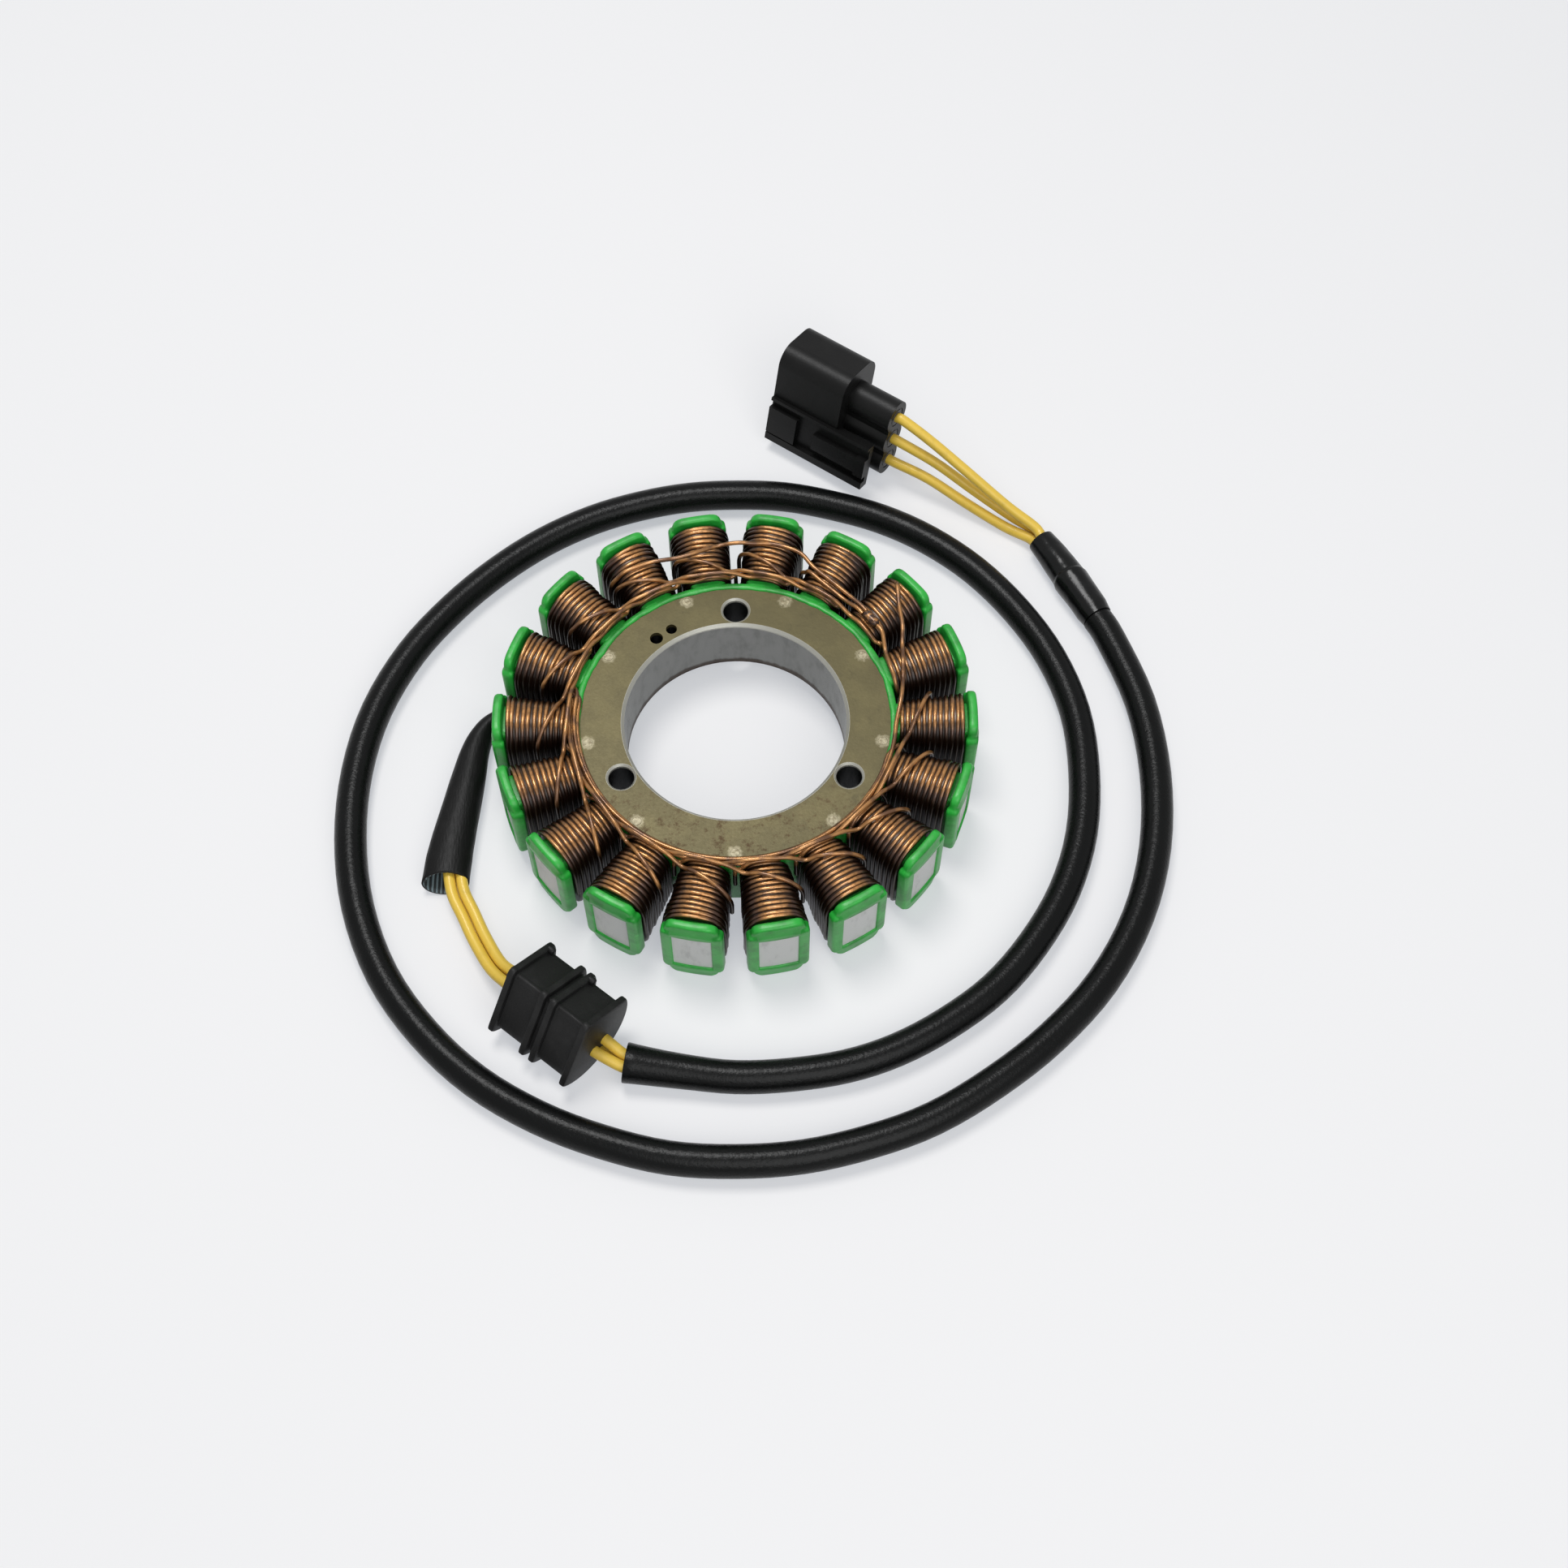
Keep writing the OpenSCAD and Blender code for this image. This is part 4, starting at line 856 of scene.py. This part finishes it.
def star_paths():
    """Routes of the three wires that meet in the star joint."""
    loose = [
        polar(6.446 * PITCH, COIL_IN + 10.4, STACK_TOP - 7),
        polar(6.446 * PITCH, COIL_IN + 10.3, STACK_TOP - 2.5),
        on_coil(6.415, COIL_IN + 10), on_coil(6.34, COIL_IN + 9.5),
        *(on_tops(a, COIL_IN + r, rise * WIRE_D) for a, r, rise in (
            (6.2, 8.9, 0), (5.82, 8.1, 0.1), (5.6, 7, 0.6), (5.45, 6.2, 1.1), (5.2, 6.1, 1.3),
            (4.97, 7, 0.9), (4.75, 8.1, 0.3), (4.55, 8.2, 0.9), (4.4, 8.3, 1), (4.25, 8.4, 0.7),
            (4.02, 9.3, 0), (3.75, 9.2, 0), (3.5, 8.4, 0), (3.25, 6, 0), (2.85, 4.3, 0.1), (2.48, 3.4, 0.3))),
        star_point(-STAR_LEN / 2 - 2.5, 0.62, 0), star_point(-STAR_LEN / 2 - 0.05, 0.62, 0)]
    paired = [
        polar(3.454 * PITCH, COIL_IN + 6, STACK_TOP - 7),
        polar(3.454 * PITCH, COIL_IN + 5.9, STACK_TOP - 2.5),
        on_coil(3.42, COIL_IN + 5.6), on_coil(3.35, COIL_IN + 5),
        *(on_tops(a, COIL_IN + r) for a, r in ((3.27, 4.4), (3.05, 3.3), (2.85, 2.6), (2.48, 1.9))),
        star_point(-STAR_LEN / 2 - 2.5, -0.62, 0), star_point(-STAR_LEN / 2 - 0.05, -0.62, 0)]
    ringed = [
        star_point(STAR_LEN / 2 + 0.05, 0, 0), star_point(STAR_LEN / 2 + 2.2, -0.2, -0.1),
        on_coil(1.3, COIL_IN + 0.7, 0.1), on_coil(1, LANE_R), on_coil(0.79, LANE_R),
        on_coil(0.61, LANE_R + 0.1, 0.1), on_coil(0.52, COIL_IN + 0.5, 0.1),
        polar(0.5 * PITCH, COIL_IN + 1, STACK_TOP - 1.7), polar(0.5 * PITCH, COIL_IN + 1, STACK_TOP - 5)]
    return loose, paired, ringed


def set_down(at, angle, x, y, z):
    """Point of a piece that stands at a place on the floor, turned by an angle."""
    c, s = math.cos(angle), math.sin(angle)
    return Vector((at[0] + x * c - y * s, at[1] + x * s + y * c, z))


def in_grommet(x, y, z):
    return set_down(GROMMET_AT, GROMMET_ANGLE, x, y, GROMMET_Z + z)


def in_connector(x, y, z):
    side = y * math.cos(LEAN) + z * math.sin(LEAN)
    rise = z * math.cos(LEAN) - y * math.sin(LEAN)
    return set_down(CONNECTOR_AT, CONNECTOR_ANGLE, x, side, CONNECTOR_Z + rise)


def lead_path(i):
    """Route of a lead from its splice through the grommet to the sheath."""
    sheath_dir = (Vector((*SHEATH_ROUTE[1], 0)) - Vector((*SHEATH_ROUTE[0], 0))).normalized()
    sheath_left = Vector((-sheath_dir.y, sheath_dir.x, 0))
    sheath_from = Vector((*SHEATH_ROUTE[0], 4.7)) + lane_shift(i, sheath_left)
    route = [Vector(p) for p in LEAD_ROUTE]
    left = [pair[0] for pair in level(route)]
    hole_shade = [HOLE_AT[n] + HOLE_SPREAD * LANES[i][n] for n in (0, 1)]
    return [SPLICE_TO + lane_shift(i, SPLICE_LEFT) + 0.05 * SPLICE_DIR,
            *(p + lane_shift(i, v) for p, v in zip(route, left)),
            *(in_grommet(x, *hole_shade) for x in (-1.5, 2, 12, 22, 25)),
            sheath_from - 0.2 * sheath_dir, sheath_from + 3 * sheath_dir]


# Operators


class STATOR_OT_stage(bpy.types.Operator):
    """Lays the floor and sets up the lights and the camera"""
    bl_idname = "stator.stage"
    bl_label = "Stage"

    def lamp(self, name, power, size, place):
        light = bpy.data.lights.new(name, "AREA")
        light.energy = power
        light.shape = "DISK"
        light.size = size
        made = bpy.data.objects.new(name, light)
        made.location = place
        made.rotation_mode = "QUATERNION"
        made.rotation_quaternion = Vector(place).to_track_quat("Z", "Y")
        bpy.context.scene.collection.objects.link(made)

    def execute(self, context):
        stage = context.scene.stator_stage
        mesh = bpy.data.meshes.new("floor")
        corners = 96
        edge = [polar(360 * i / corners, FLOOR_R, 0) for i in range(corners)]
        mesh.from_pydata(edge, [], [tuple(range(corners))])
        mesh.materials.append(finish("pale_floor"))
        floor = bpy.data.objects.new("floor", mesh)
        floor.location.z = -0.0001
        context.scene.collection.objects.link(floor)
        world = bpy.data.worlds.new("studio")
        sky = Finish(world).set(Color=(1, 1, 1), Strength=stage.ambient)
        pale = sky.node("ShaderNodeBackground", None, {"Color": stage.floor, "Strength": stage.backdrop})
        even = Value(sky, sky.shader.outputs[0])
        both = sky.node("ShaderNodeMixShader", None, {0: sky.seen(), 1: even, 2: pale})
        sky.feed(next(n for n in sky.tree.nodes if n.type == "OUTPUT_WORLD").inputs["Surface"], both)
        context.scene.world = world
        self.lamp("key", stage.key, *KEY_LAMP)
        self.lamp("fill", stage.fill, *FILL_LAMP)
        context.scene.view_settings.view_transform = "Standard"

        az, el, roll = (math.radians(v) for v in CAMERA_TURN)
        back = Vector((math.sin(az) * math.cos(el), -math.cos(az) * math.cos(el), math.sin(el)))
        flat = Vector((math.cos(az), math.sin(az), 0))
        rise = back.cross(flat)
        right = math.cos(roll) * flat + math.sin(roll) * rise
        up = math.cos(roll) * rise - math.sin(roll) * flat
        data = bpy.data.cameras.new("camera")
        data.lens = stage.lens
        data.sensor_width = 36
        data.clip_start = 0.01
        camera = bpy.data.objects.new("camera", data)
        place = (back * CAMERA_PLACE[0] + right * CAMERA_PLACE[1] + up * CAMERA_PLACE[2]) * MM
        camera.matrix_world = Matrix.Translation(place) @ Matrix((right, up, back)).transposed().to_4x4()
        context.scene.collection.objects.link(camera)
        context.scene.camera = camera
        return {"FINISHED"}


class STATOR_OT_leads(bpy.types.Operator):
    """Runs the three yellow leads from the splices through the grommet to the sheath"""
    bl_idname = "stator.leads"
    bl_label = "Leads"

    def execute(self, context):
        for i in range(3):
            path = smooth(lead_path(i), 5)
            shape = Shape()
            shape.tube(path, LEAD_D / 2, sizes().cord_sides)
            made = shape.piece(f"yellow_lead_{i + 1}", "yellow_insulation", [f"lead_{i + 1}"])
            declare(path)
        return {"FINISHED"}


class STATOR_OT_sheath(bpy.types.Operator):
    """Lays the black sheath in its two turns"""
    bl_idname = "stator.sheath"
    bl_label = "Sheath"

    def execute(self, context):
        path = smooth([(x, y, SHEATH_Z) for x, y in SHEATH_ROUTE], 4)
        radii = []
        for i, p in enumerate(path):
            flare = sizes().flare / MM * max(1 - path_length(path[:i + 1]) / 24, 0) ** 2
            radii.append(SHEATH_D / 2 + flare)
            p.z += flare
        shape = Shape()
        shape.tube(path, radii, sizes().cord_sides, (sizes().sheath_wall / MM, 7))
        made = shape.piece("black_sheath", "black_vinyl", ["sheath"], 50)
        declare(path)
        return {"FINISHED"}


class STATOR_OT_wrap(bpy.types.Operator):
    """Wraps the sheath's end with tape, in overlapping turns"""
    bl_idname = "stator.wrap"
    bl_label = "Tape wrap"

    def execute(self, context):
        steps = 24
        path = smooth(WRAP_ROUTE, steps)
        dirs = carried(path)
        lip = sizes().tape_step / MM
        start = SHEATH_D / 2 + 0.03
        sides = 40
        loops = []
        far = 0.0
        path[0] = path[0] * 2 - path[1]
        for i, p in enumerate(path):
            far += (p - path[i - 1]).length if i else 0.0
            u, v = dirs[i]
            base = start + (blend(WRAP_D, i / steps) / 2 - start) * min(far / 3, 1)
            loop = []
            for a in turns(sides):
                edge = 13.5 + 1.2 * math.cos(a + 0.8) + 0.8 * wander(math.cos(a) * 2, math.sin(a) * 2, 5.0)
                over = min(max((far - edge) / 0.5, 0), 1)
                crease = wander(math.cos(a) * 1.6, math.sin(a) * 1.6, far * 0.2)
                r = base - lip * over + 0.12 * crease * min(far / 3, 1)
                loop.append(p + r * (math.cos(a) * u + math.sin(a) * v))
            loops.append([Vector((q.x, q.y, max(q.z, 0.05))) for q in loop])
        end, (u, v) = path[-1], dirs[-1]
        t = tangents(path)[-1]
        for r, shift in ((0.88, 0.05), (0.86, -5)):
            loops.append(circle(end + t * shift, u, v, 3.9 * r, sides))
        shape = Shape()
        shape.loft(loops, True, True)
        shape.piece("tape_wrap", "black_tape", ["sheath_wrap"], 60)
        return {"FINISHED"}


class STATOR_OT_connector_leads(bpy.types.Operator):
    """Runs the three yellow leads from the wrap to the connector"""
    bl_idname = "stator.connector_leads"
    bl_label = "Connector leads"

    def execute(self, context):
        back = (Vector(WRAP_ROUTE[-1]) - Vector(WRAP_ROUTE[-2])).normalized()
        for i in range(3):
            z = ROW_Z + i * BLADE_PITCH
            route = [Vector(p) for p in TAIL_ROUTE[i]]
            route += [in_connector(REAR_X + x, HOOD_W / 2, z) for x in (2.6, 0.1)]
            path = smooth(route, 6)
            tucked = [path[0] - back * 3, *path, in_connector(REAR_X - 1.5, HOOD_W / 2, z)]
            shape = Shape()
            shape.tube(tucked, LEAD_D / 2, sizes().cord_sides)
            made = shape.piece(f"plug_lead_{i + 1}", "yellow_insulation", [f"connector_lead_{i + 1}"])
            declare(tucked)
        return {"FINISHED"}


class STATOR_OT_core(bpy.types.Operator):
    """Finishes the core's sheets, its end plates and its rivets"""
    bl_idname = "stator.core"
    bl_label = "Core"

    def execute(self, context):
        dress("lamination_stack", "core_sheets")
        dress("upper_end_plate", "olive_plating")
        dress("lower_end_plate", "olive_plating")
        dress("core_rivets", "rivet_steel")
        return {"FINISHED"}


def rounded(corners):
    """Closed outline through corners (y, z, radius), each corner with five points."""
    out = []
    n = len(corners)
    for i, (y, z, r) in enumerate(corners):
        here = Vector((y, z))
        before = (Vector(corners[i - 1][:2]) - here).normalized()
        after = (Vector(corners[(i + 1) % n][:2]) - here).normalized()
        a, b = here + before * r, here + after * r
        for t in (0, 0.25, 0.5, 0.75, 1):
            out.append((1 - t) ** 2 * a + 2 * t * (1 - t) * here + t * t * b)
    return out


def filled_in(outline, spacing):
    """Outline with extra points on its long edges."""
    out = []
    for a, b in zip(outline, outline[1:] + outline[:1]):
        count = max(1, round((b - a).length / spacing))
        out.extend(a + (b - a) * i / count for i in range(count))
    return out


def drawn_in(outline, inset):
    """Outline moved inward along its normals."""
    out = []
    n = len(outline)
    for i, p in enumerate(outline):
        run = outline[(i + 1) % n] - outline[i - 1]
        out.append(p + inset * Vector((-run.y, run.x)).normalized())
    return out


class STATOR_OT_coating(bpy.types.Operator):
    """Pours the green coating over the poles and the ring's rim"""
    bl_idname = "stator.coating"
    bl_label = "Coating"

    def face(self):
        """Outline of a pole's face: the wide shoe, the tip above and the tip below."""
        half = STACK_H / 2 + COAT
        shoe, tip = SHOE_W / 2, TIP_W / 2
        right = [
            (tip - 1.4, -MID_Z, 0.7), (tip, 1.4 - MID_Z, 0.8), (tip + 0.35, -half - 0.5, 0.5),
            (shoe, -half + 0.5, 0.9), (shoe, half - 0.5, 0.9), (tip + 0.5, half + 0.6, 0.7),
            (tip, MID_Z, 2.4)]
        left = [(-y, z, r) for y, z, r in reversed(right)]
        return filled_in(rounded(right + left), 2.0)

    def pole(self):
        """Coating of one tooth: its shoe with a rolled edge round the bare window, and its stem."""
        shape = Shape()
        outline = self.face()
        half = STACK_H / 2 + COAT

        def skin(loop, radius, tip_in=0.0):
            out = []
            for p in loop:
                rise = min(max((abs(p.y) - half + 0.25) / 0.6, 0), 1)
                r = radius - tip_in * rise * rise * (3 - 2 * rise)
                out.append(Vector((math.sqrt(r * r - p.x * p.x), p.x, p.y + MID_Z)))
            return out

        def frame_loop(grow):
            w, h = WINDOW[0] / 2 + grow, WINDOW[1] / 2 + grow
            return [p * min(w / max(abs(p.x), 1e-6), h / max(abs(p.y), 1e-6)) for p in outline]

        def rolled(degrees, radius, side, tip):
            a = math.radians(degrees)
            inset = drawn_in(outline, edge * (1 - math.cos(a)))
            return skin(inset, radius + side * edge * (1 - math.sin(a)), tip)
        edge = 0.75
        tip_in = 0.45
        loops = [skin(frame_loop(0), FACE_R - COAT - 0.05), skin(frame_loop(0.06), FACE_R - 0.18),
                 skin(frame_loop(0.3), FACE_R)]
        inner = drawn_in(outline, edge)
        for t in (0.34, 0.67):
            loops.append(skin([a.lerp(b, t) for a, b in zip(frame_loop(0.3), inner)], FACE_R, tip_in))
        loops += [rolled(90 - 22.5 * i, FACE_R, -1, tip_in) for i in range(5)]
        loops += [rolled(22.5 * i, SHOE_IN_R, 1, -0.35) for i in range(5)]
        loops.append(skin([p * 0.5 for p in outline], SHOE_IN_R + 0.1))
        shape.loft([list(reversed(loop)) for loop in loops])
        w, h = TOOTH_W / 2 + COAT, STACK_H / 2 + COAT
        section = rounded([(-w, -h, 1.6), (w, -h, 1.6), (w, h, 1.6), (-w, h, 1.6)])
        shape.loft([[Vector((x, p.x, p.y + MID_Z)) for p in section] for x in (YOKE_R, 48, SHOE_IN_R + 0.3)])
        return shape

    def rim(self):
        """Coating of the ring's wall with a bead over both rims."""
        bead = sizes().bead / MM
        wave = sizes().waviness / MM
        lit_height = STACK_TOP + COAT
        shape = Shape()
        count = 432
        for k in range(count):
            a = 360 * k / count
            spot = polar(a, 5.0, 0)
            stray = wave * (wander(spot.x, spot.y, 1.0) + 0.6 * wander(spot.x * 3, spot.y * 3, 4.0))
            swell = 0.12 * wander(spot.x * 2, spot.y * 2, 8.0)
            inner = RIM_IN_R + stray
            top = [(inner, STACK_TOP + 0.02), (inner + 0.05, STACK_TOP + 0.25),
                   (inner + bead * 0.5, lit_height - 0.06), (inner + bead, lit_height + swell),
                   (WALL_R - bead, lit_height + swell), (WALL_R - bead * 0.3, lit_height - bead * 0.3),
                   (WALL_R, lit_height - bead)]
            foot_shade = [(r, 2 * MID_Z - z) for r, z in reversed(top)]
            shape.points.extend(polar(a, r, z) for r, z in reversed([*top, (WALL_R, MID_Z), *foot_shade]))
        n = len(shape.points) // count
        for k in range(count):
            for j in range(n - 1):
                a, b = k * n + j, (k + 1) % count * n + j
                shape.faces.append((a, b, b + 1, a + 1))
        return shape

    def execute(self, context):
        poles = self.pole()
        poles.turned()
        poles.piece("pole_coating", "green_epoxy", ["green_coating"], 55)
        self.rim().piece("rim_coating", "green_epoxy")
        return {"FINISHED"}


class STATOR_OT_coils(bpy.types.Operator):
    """Winds each tooth's coil turn by turn"""
    bl_idname = "stator.coils"
    bl_label = "Coils"

    def stations(self):
        """Places round a tooth: a corner's centre or a point between two, and the direction outward."""
        w, h = HALF_W - CORNER_IN, HALF_H - CORNER_IN
        corners = [Vector(c) for c in ((w, h), (-w, h), (-w, -h), (w, -h))]
        out = []
        for q, corner in enumerate(corners):
            for t in ((0.25, 0.5, 0.75) if q % 2 == 0 else (0.5,)):
                out.append((corners[q - 1].lerp(corner, t), 90 * q))
            out.extend((corner, 90 * q + 18 * i) for i in range(6))
        return out

    def place(self, station, x, build):
        """Point at a station, at a distance from the ring's axis and a height over the tooth's side."""
        at, facing = station
        a = math.radians(facing)
        reach = CORNER_IN + build
        return Vector((x, at.x + reach * math.cos(a), at.y + reach * math.sin(a) + MID_Z))

    def coil(self, k):
        stations = self.stations()
        count = len(stations)
        stray = sizes().looseness / MM
        thick = WIRE_D / 2
        inner, outer = WALL_R + 0.25 + thick, COIL_OUT - thick
        step = (outer - inner) / (TURNS - 1)
        shape = Shape()
        path = []
        for i in range(TURNS * count):
            turn = i / count
            round_at = math.tau * turn
            near = (k * 3.1 + turn * 0.9, math.cos(round_at) * 0.8, math.sin(round_at) * 0.8)
            x = outer - (turn - 0.5) * step + stray * wander(*near)
            x = min(max(x, inner), outer)
            build = lay_at(x) - thick + stray * (1.6 * wander(near[0] + 50, near[1], near[2]) - 0.5)
            path.append(self.place(stations[i % count], x, build))
        shape.tube(path, thick, sizes().wire_sides)
        for x, deep in ((inner, 0.9), (outer, 0.9), (outer, 1.8)):
            build = max(lay_at(x) - thick - deep * WIRE_D, thick)
            ring = [self.place(station, x, build) for station in stations]
            shape.tube([*ring, ring[0]], thick, sizes().wire_sides)
        shape.loft([[self.place(station, x, build) for station in stations] for x, build in (
            (inner, 0.02), (inner, LAY_IN - 0.75), (outer, LAY_OUT - 0.75), (outer, 0.02))])
        shape.points = spun(shape.points, k)
        return shape

    def execute(self, context):
        for k in range(1, POLES + 1):
            self.coil(k).piece(f"coil_turns_{k:02d}", "wound_copper", [f"coil_{k:02d}"], 60)
        return {"FINISHED"}


class STATOR_OT_wires(bpy.types.Operator):
    """Lays the jumpers, the phase tails and the star wires over the coils"""
    bl_idname = "stator.wires"
    bl_label = "Loose wires"

    def lay(self, name, node, routes):
        shape = Shape()
        for route in routes:
            shape.tube(smooth(route, 4), WIRE_D / 2, sizes().wire_sides)
        shape.piece(name, "enamelled_copper", [node], 60)

    def execute(self, context):
        jumper = jumper_route()
        for phase, letter in enumerate("abc"):
            routes = [spun(jumper, k) for k in range(phase + 1, POLES - 2, 3)]
            self.lay(f"jumper_wires_{letter}", f"phase_{letter}_jumpers", routes)
            self.lay(f"tail_wire_{letter}", f"phase_{letter}_tail", [tail_path(phase)])
        self.lay("star_point_wires", "star_wires", star_paths())
        return {"FINISHED"}


class STATOR_OT_star_joint(bpy.types.Operator):
    """Solders the star joint, a lumpy sleeve over the wires' ends"""
    bl_idname = "stator.star_joint"
    bl_label = "Star joint"

    def execute(self, context):
        path = [star_point(STAR_LEN * (i / 14 - 0.5), 0, 0) for i in range(15)]
        radii = []
        for i in range(15):
            bulge = math.sqrt(max(1 - abs(i / 7 - 1) ** 5, 0.12))
            radii.append(1.3 * bulge + 0.05 * wander(i * 0.8, 3.0))
        shape = Shape()
        shape.tube(path, radii, 16)
        shape.piece("star_solder", "varnished_solder", ["star_joint"], 60)
        return {"FINISHED"}


class STATOR_OT_sleeve(bpy.types.Operator):
    """Slips the fibre sleeve, with its ribbed lining, over the splices"""
    bl_idname = "stator.sleeve"
    bl_label = "Fibre sleeve"

    def execute(self, context):
        steps = 6
        path = smooth(SLEEVE_ROUTE, steps)
        dirs = level(path)
        last = len(path) - 1
        sides = 64
        wall = 0.7

        def loop(i, cut, ribs=0.0, shift=0.0):
            left, up = dirs[i]
            at = path[i] + left.cross(up) * -shift
            w = blend([s[0] for s in SLEEVE_SIZE], i / steps) / 2 - cut
            h = blend([s[1] for s in SLEEVE_SIZE], i / steps) / 2 - cut
            out = []
            for j, a in enumerate(turns(sides)):
                dent = 1 - ribs * (j % 2)
                if not ribs:
                    dent += 0.02 * wander(math.cos(a) * 2, math.sin(a) * 2, i * 0.2)
                cut_off = max(i - last + steps, 0) / steps * (1.9 - 1.3 * math.sin(a) - 0.6 * math.cos(a))
                p = at + dent * (w * math.cos(a) * left + h * math.sin(a) * up) + cut_off * left.cross(up)
                out.append(Vector((p.x, p.y, max(p.z, 0.05))))
            return out
        skin = Shape()
        skin.loft([loop(0, wall), loop(0, 0.1), *(loop(i, 0) for i in range(last + 1)),
                   loop(last, 0.12, 0, -0.15), loop(last, wall * 0.7, 0, -0.1)])
        skin.piece("sleeve_skin", "black_fibre", ["fibre_sleeve"], 60)
        lining = Shape()
        lining.loft([loop(last, wall * 0.7, 0, -0.1), *(loop(i, wall, 0.07) for i in range(last, 0, -1))])
        lining.piece("sleeve_lining", "ribbed_lining")
        dress("crimp_splices", "tinned_copper")
        return {"FINISHED"}


class STATOR_OT_grommet(bpy.types.Operator):
    """Moulds the rubber grommet with its flanges, grooves and two small nubs"""
    bl_idname = "stator.grommet"
    bl_label = "Grommet"

    def section(self, x, cut):
        """Outline of the grommet at x, drawn in by cut: a disc with two flats and a ridge between them."""
        out = []
        sides = 120
        crest_highlight = 4.0 - cut
        for j in range(sides):
            a = math.tau * j / sides
            reach = FLANGE_R - cut
            near = []
            for turn, flat in (STEEP, GENTLE):
                facing = math.cos(a - turn)
                if facing > 0.05:
                    near.append((flat - cut) / facing)
            if len(near) == 2:
                h = min(max(0.5 + 0.5 * (near[1] - near[0]) / crest_highlight, 0), 1)
                near = [near[1] * (1 - h) + near[0] * h - crest_highlight * h * (1 - h) * 0.35]
            if near:
                edge = min(near)
                h = min(max(0.5 + 0.5 * (edge - reach) / 0.8, 0), 1)
                reach = edge * (1 - h) + reach * h - 0.8 * h * (1 - h)
            out.append(in_grommet(x, reach * math.cos(a), reach * math.sin(a)))
        return out

    def execute(self, context):
        mid = GROMMET_LEN / 2
        body = 1.6
        flange = ((-0.35, body), (-0.02, body - 0.25), (0, 0.45), (0.14, 0.14), (0.45, 0),
                  (1.35, 0), (1.66, 0.14), (1.8, 0.45), (1.82, body - 0.25), (2.15, body))
        starts = (0, mid - 2.4, mid + 0.6, GROMMET_LEN - 1.8)
        rows = [(start + x, cut) for start in starts for x, cut in flange]
        shape = Shape()
        shape.loft([self.section(x, cut) for x, cut in rows[2:-2]], True, True)
        for x in (1.8, mid + 2.4):
            path = [in_grommet(x + s, 11.26, 1.78) for s in (-0.6, 0.7, 1.0, 1.2)]
            shape.tube(path, [0.9, 0.9, 0.75, 0.35], 16)
        shape.piece("grommet_body", "black_rubber", ["grommet"], 40)
        return {"FINISHED"}


class STATOR_OT_connector(bpy.types.Operator):
    """Finishes the connector's housing, seals and blades"""
    bl_idname = "stator.connector"
    bl_label = "Connector"

    def execute(self, context):
        dress("connector_housing", "black_nylon", 0.25)
        dress("connector_seals", "seal_rubber", 0.1)
        dress("connector_blades", "tinned_copper", 0.1)
        return {"FINISHED"}


STEPS = (
    STATOR_OT_stage, STATOR_OT_wrap, STATOR_OT_grommet, STATOR_OT_connector, STATOR_OT_sleeve,
    STATOR_OT_leads, STATOR_OT_sheath, STATOR_OT_connector_leads, STATOR_OT_core, STATOR_OT_coating,
    STATOR_OT_coils, STATOR_OT_wires, STATOR_OT_star_joint)


class STATOR_PT_panel(bpy.types.Panel):
    """Lists the stator's pieces, sizes and colours"""
    bl_idname = "STATOR_PT_panel"
    bl_label = "Stator"
    bl_space_type = "VIEW_3D"
    bl_region_type = "UI"
    bl_category = "Stator"

    def draw(self, context):
        layout = self.layout
        for group in (context.scene.stator_sizes, context.scene.stator_colours, context.scene.stator_stage):
            box = layout.box()
            for key in group.bl_rna.properties.keys():
                if key not in ("rna_type", "name"):
                    box.prop(group, key)
        for step in STEPS:
            layout.operator(step.bl_idname)


CLASSES = (StatorColours, StatorSizes, StatorStage, *STEPS, STATOR_PT_panel)


def register():
    for cls in CLASSES:
        bpy.utils.register_class(cls)
    bpy.types.Scene.stator_colours = PointerProperty(type=StatorColours)
    bpy.types.Scene.stator_sizes = PointerProperty(type=StatorSizes)
    bpy.types.Scene.stator_stage = PointerProperty(type=StatorStage)


def unregister():
    del bpy.types.Scene.stator_stage
    del bpy.types.Scene.stator_sizes
    del bpy.types.Scene.stator_colours
    for cls in reversed(CLASSES):
        bpy.utils.unregister_class(cls)


def main():
    register()
    for step in STEPS:
        group, name = step.bl_idname.split(".")
        getattr(getattr(bpy.ops, group), name)()


if __name__ == "__main__":
    main()
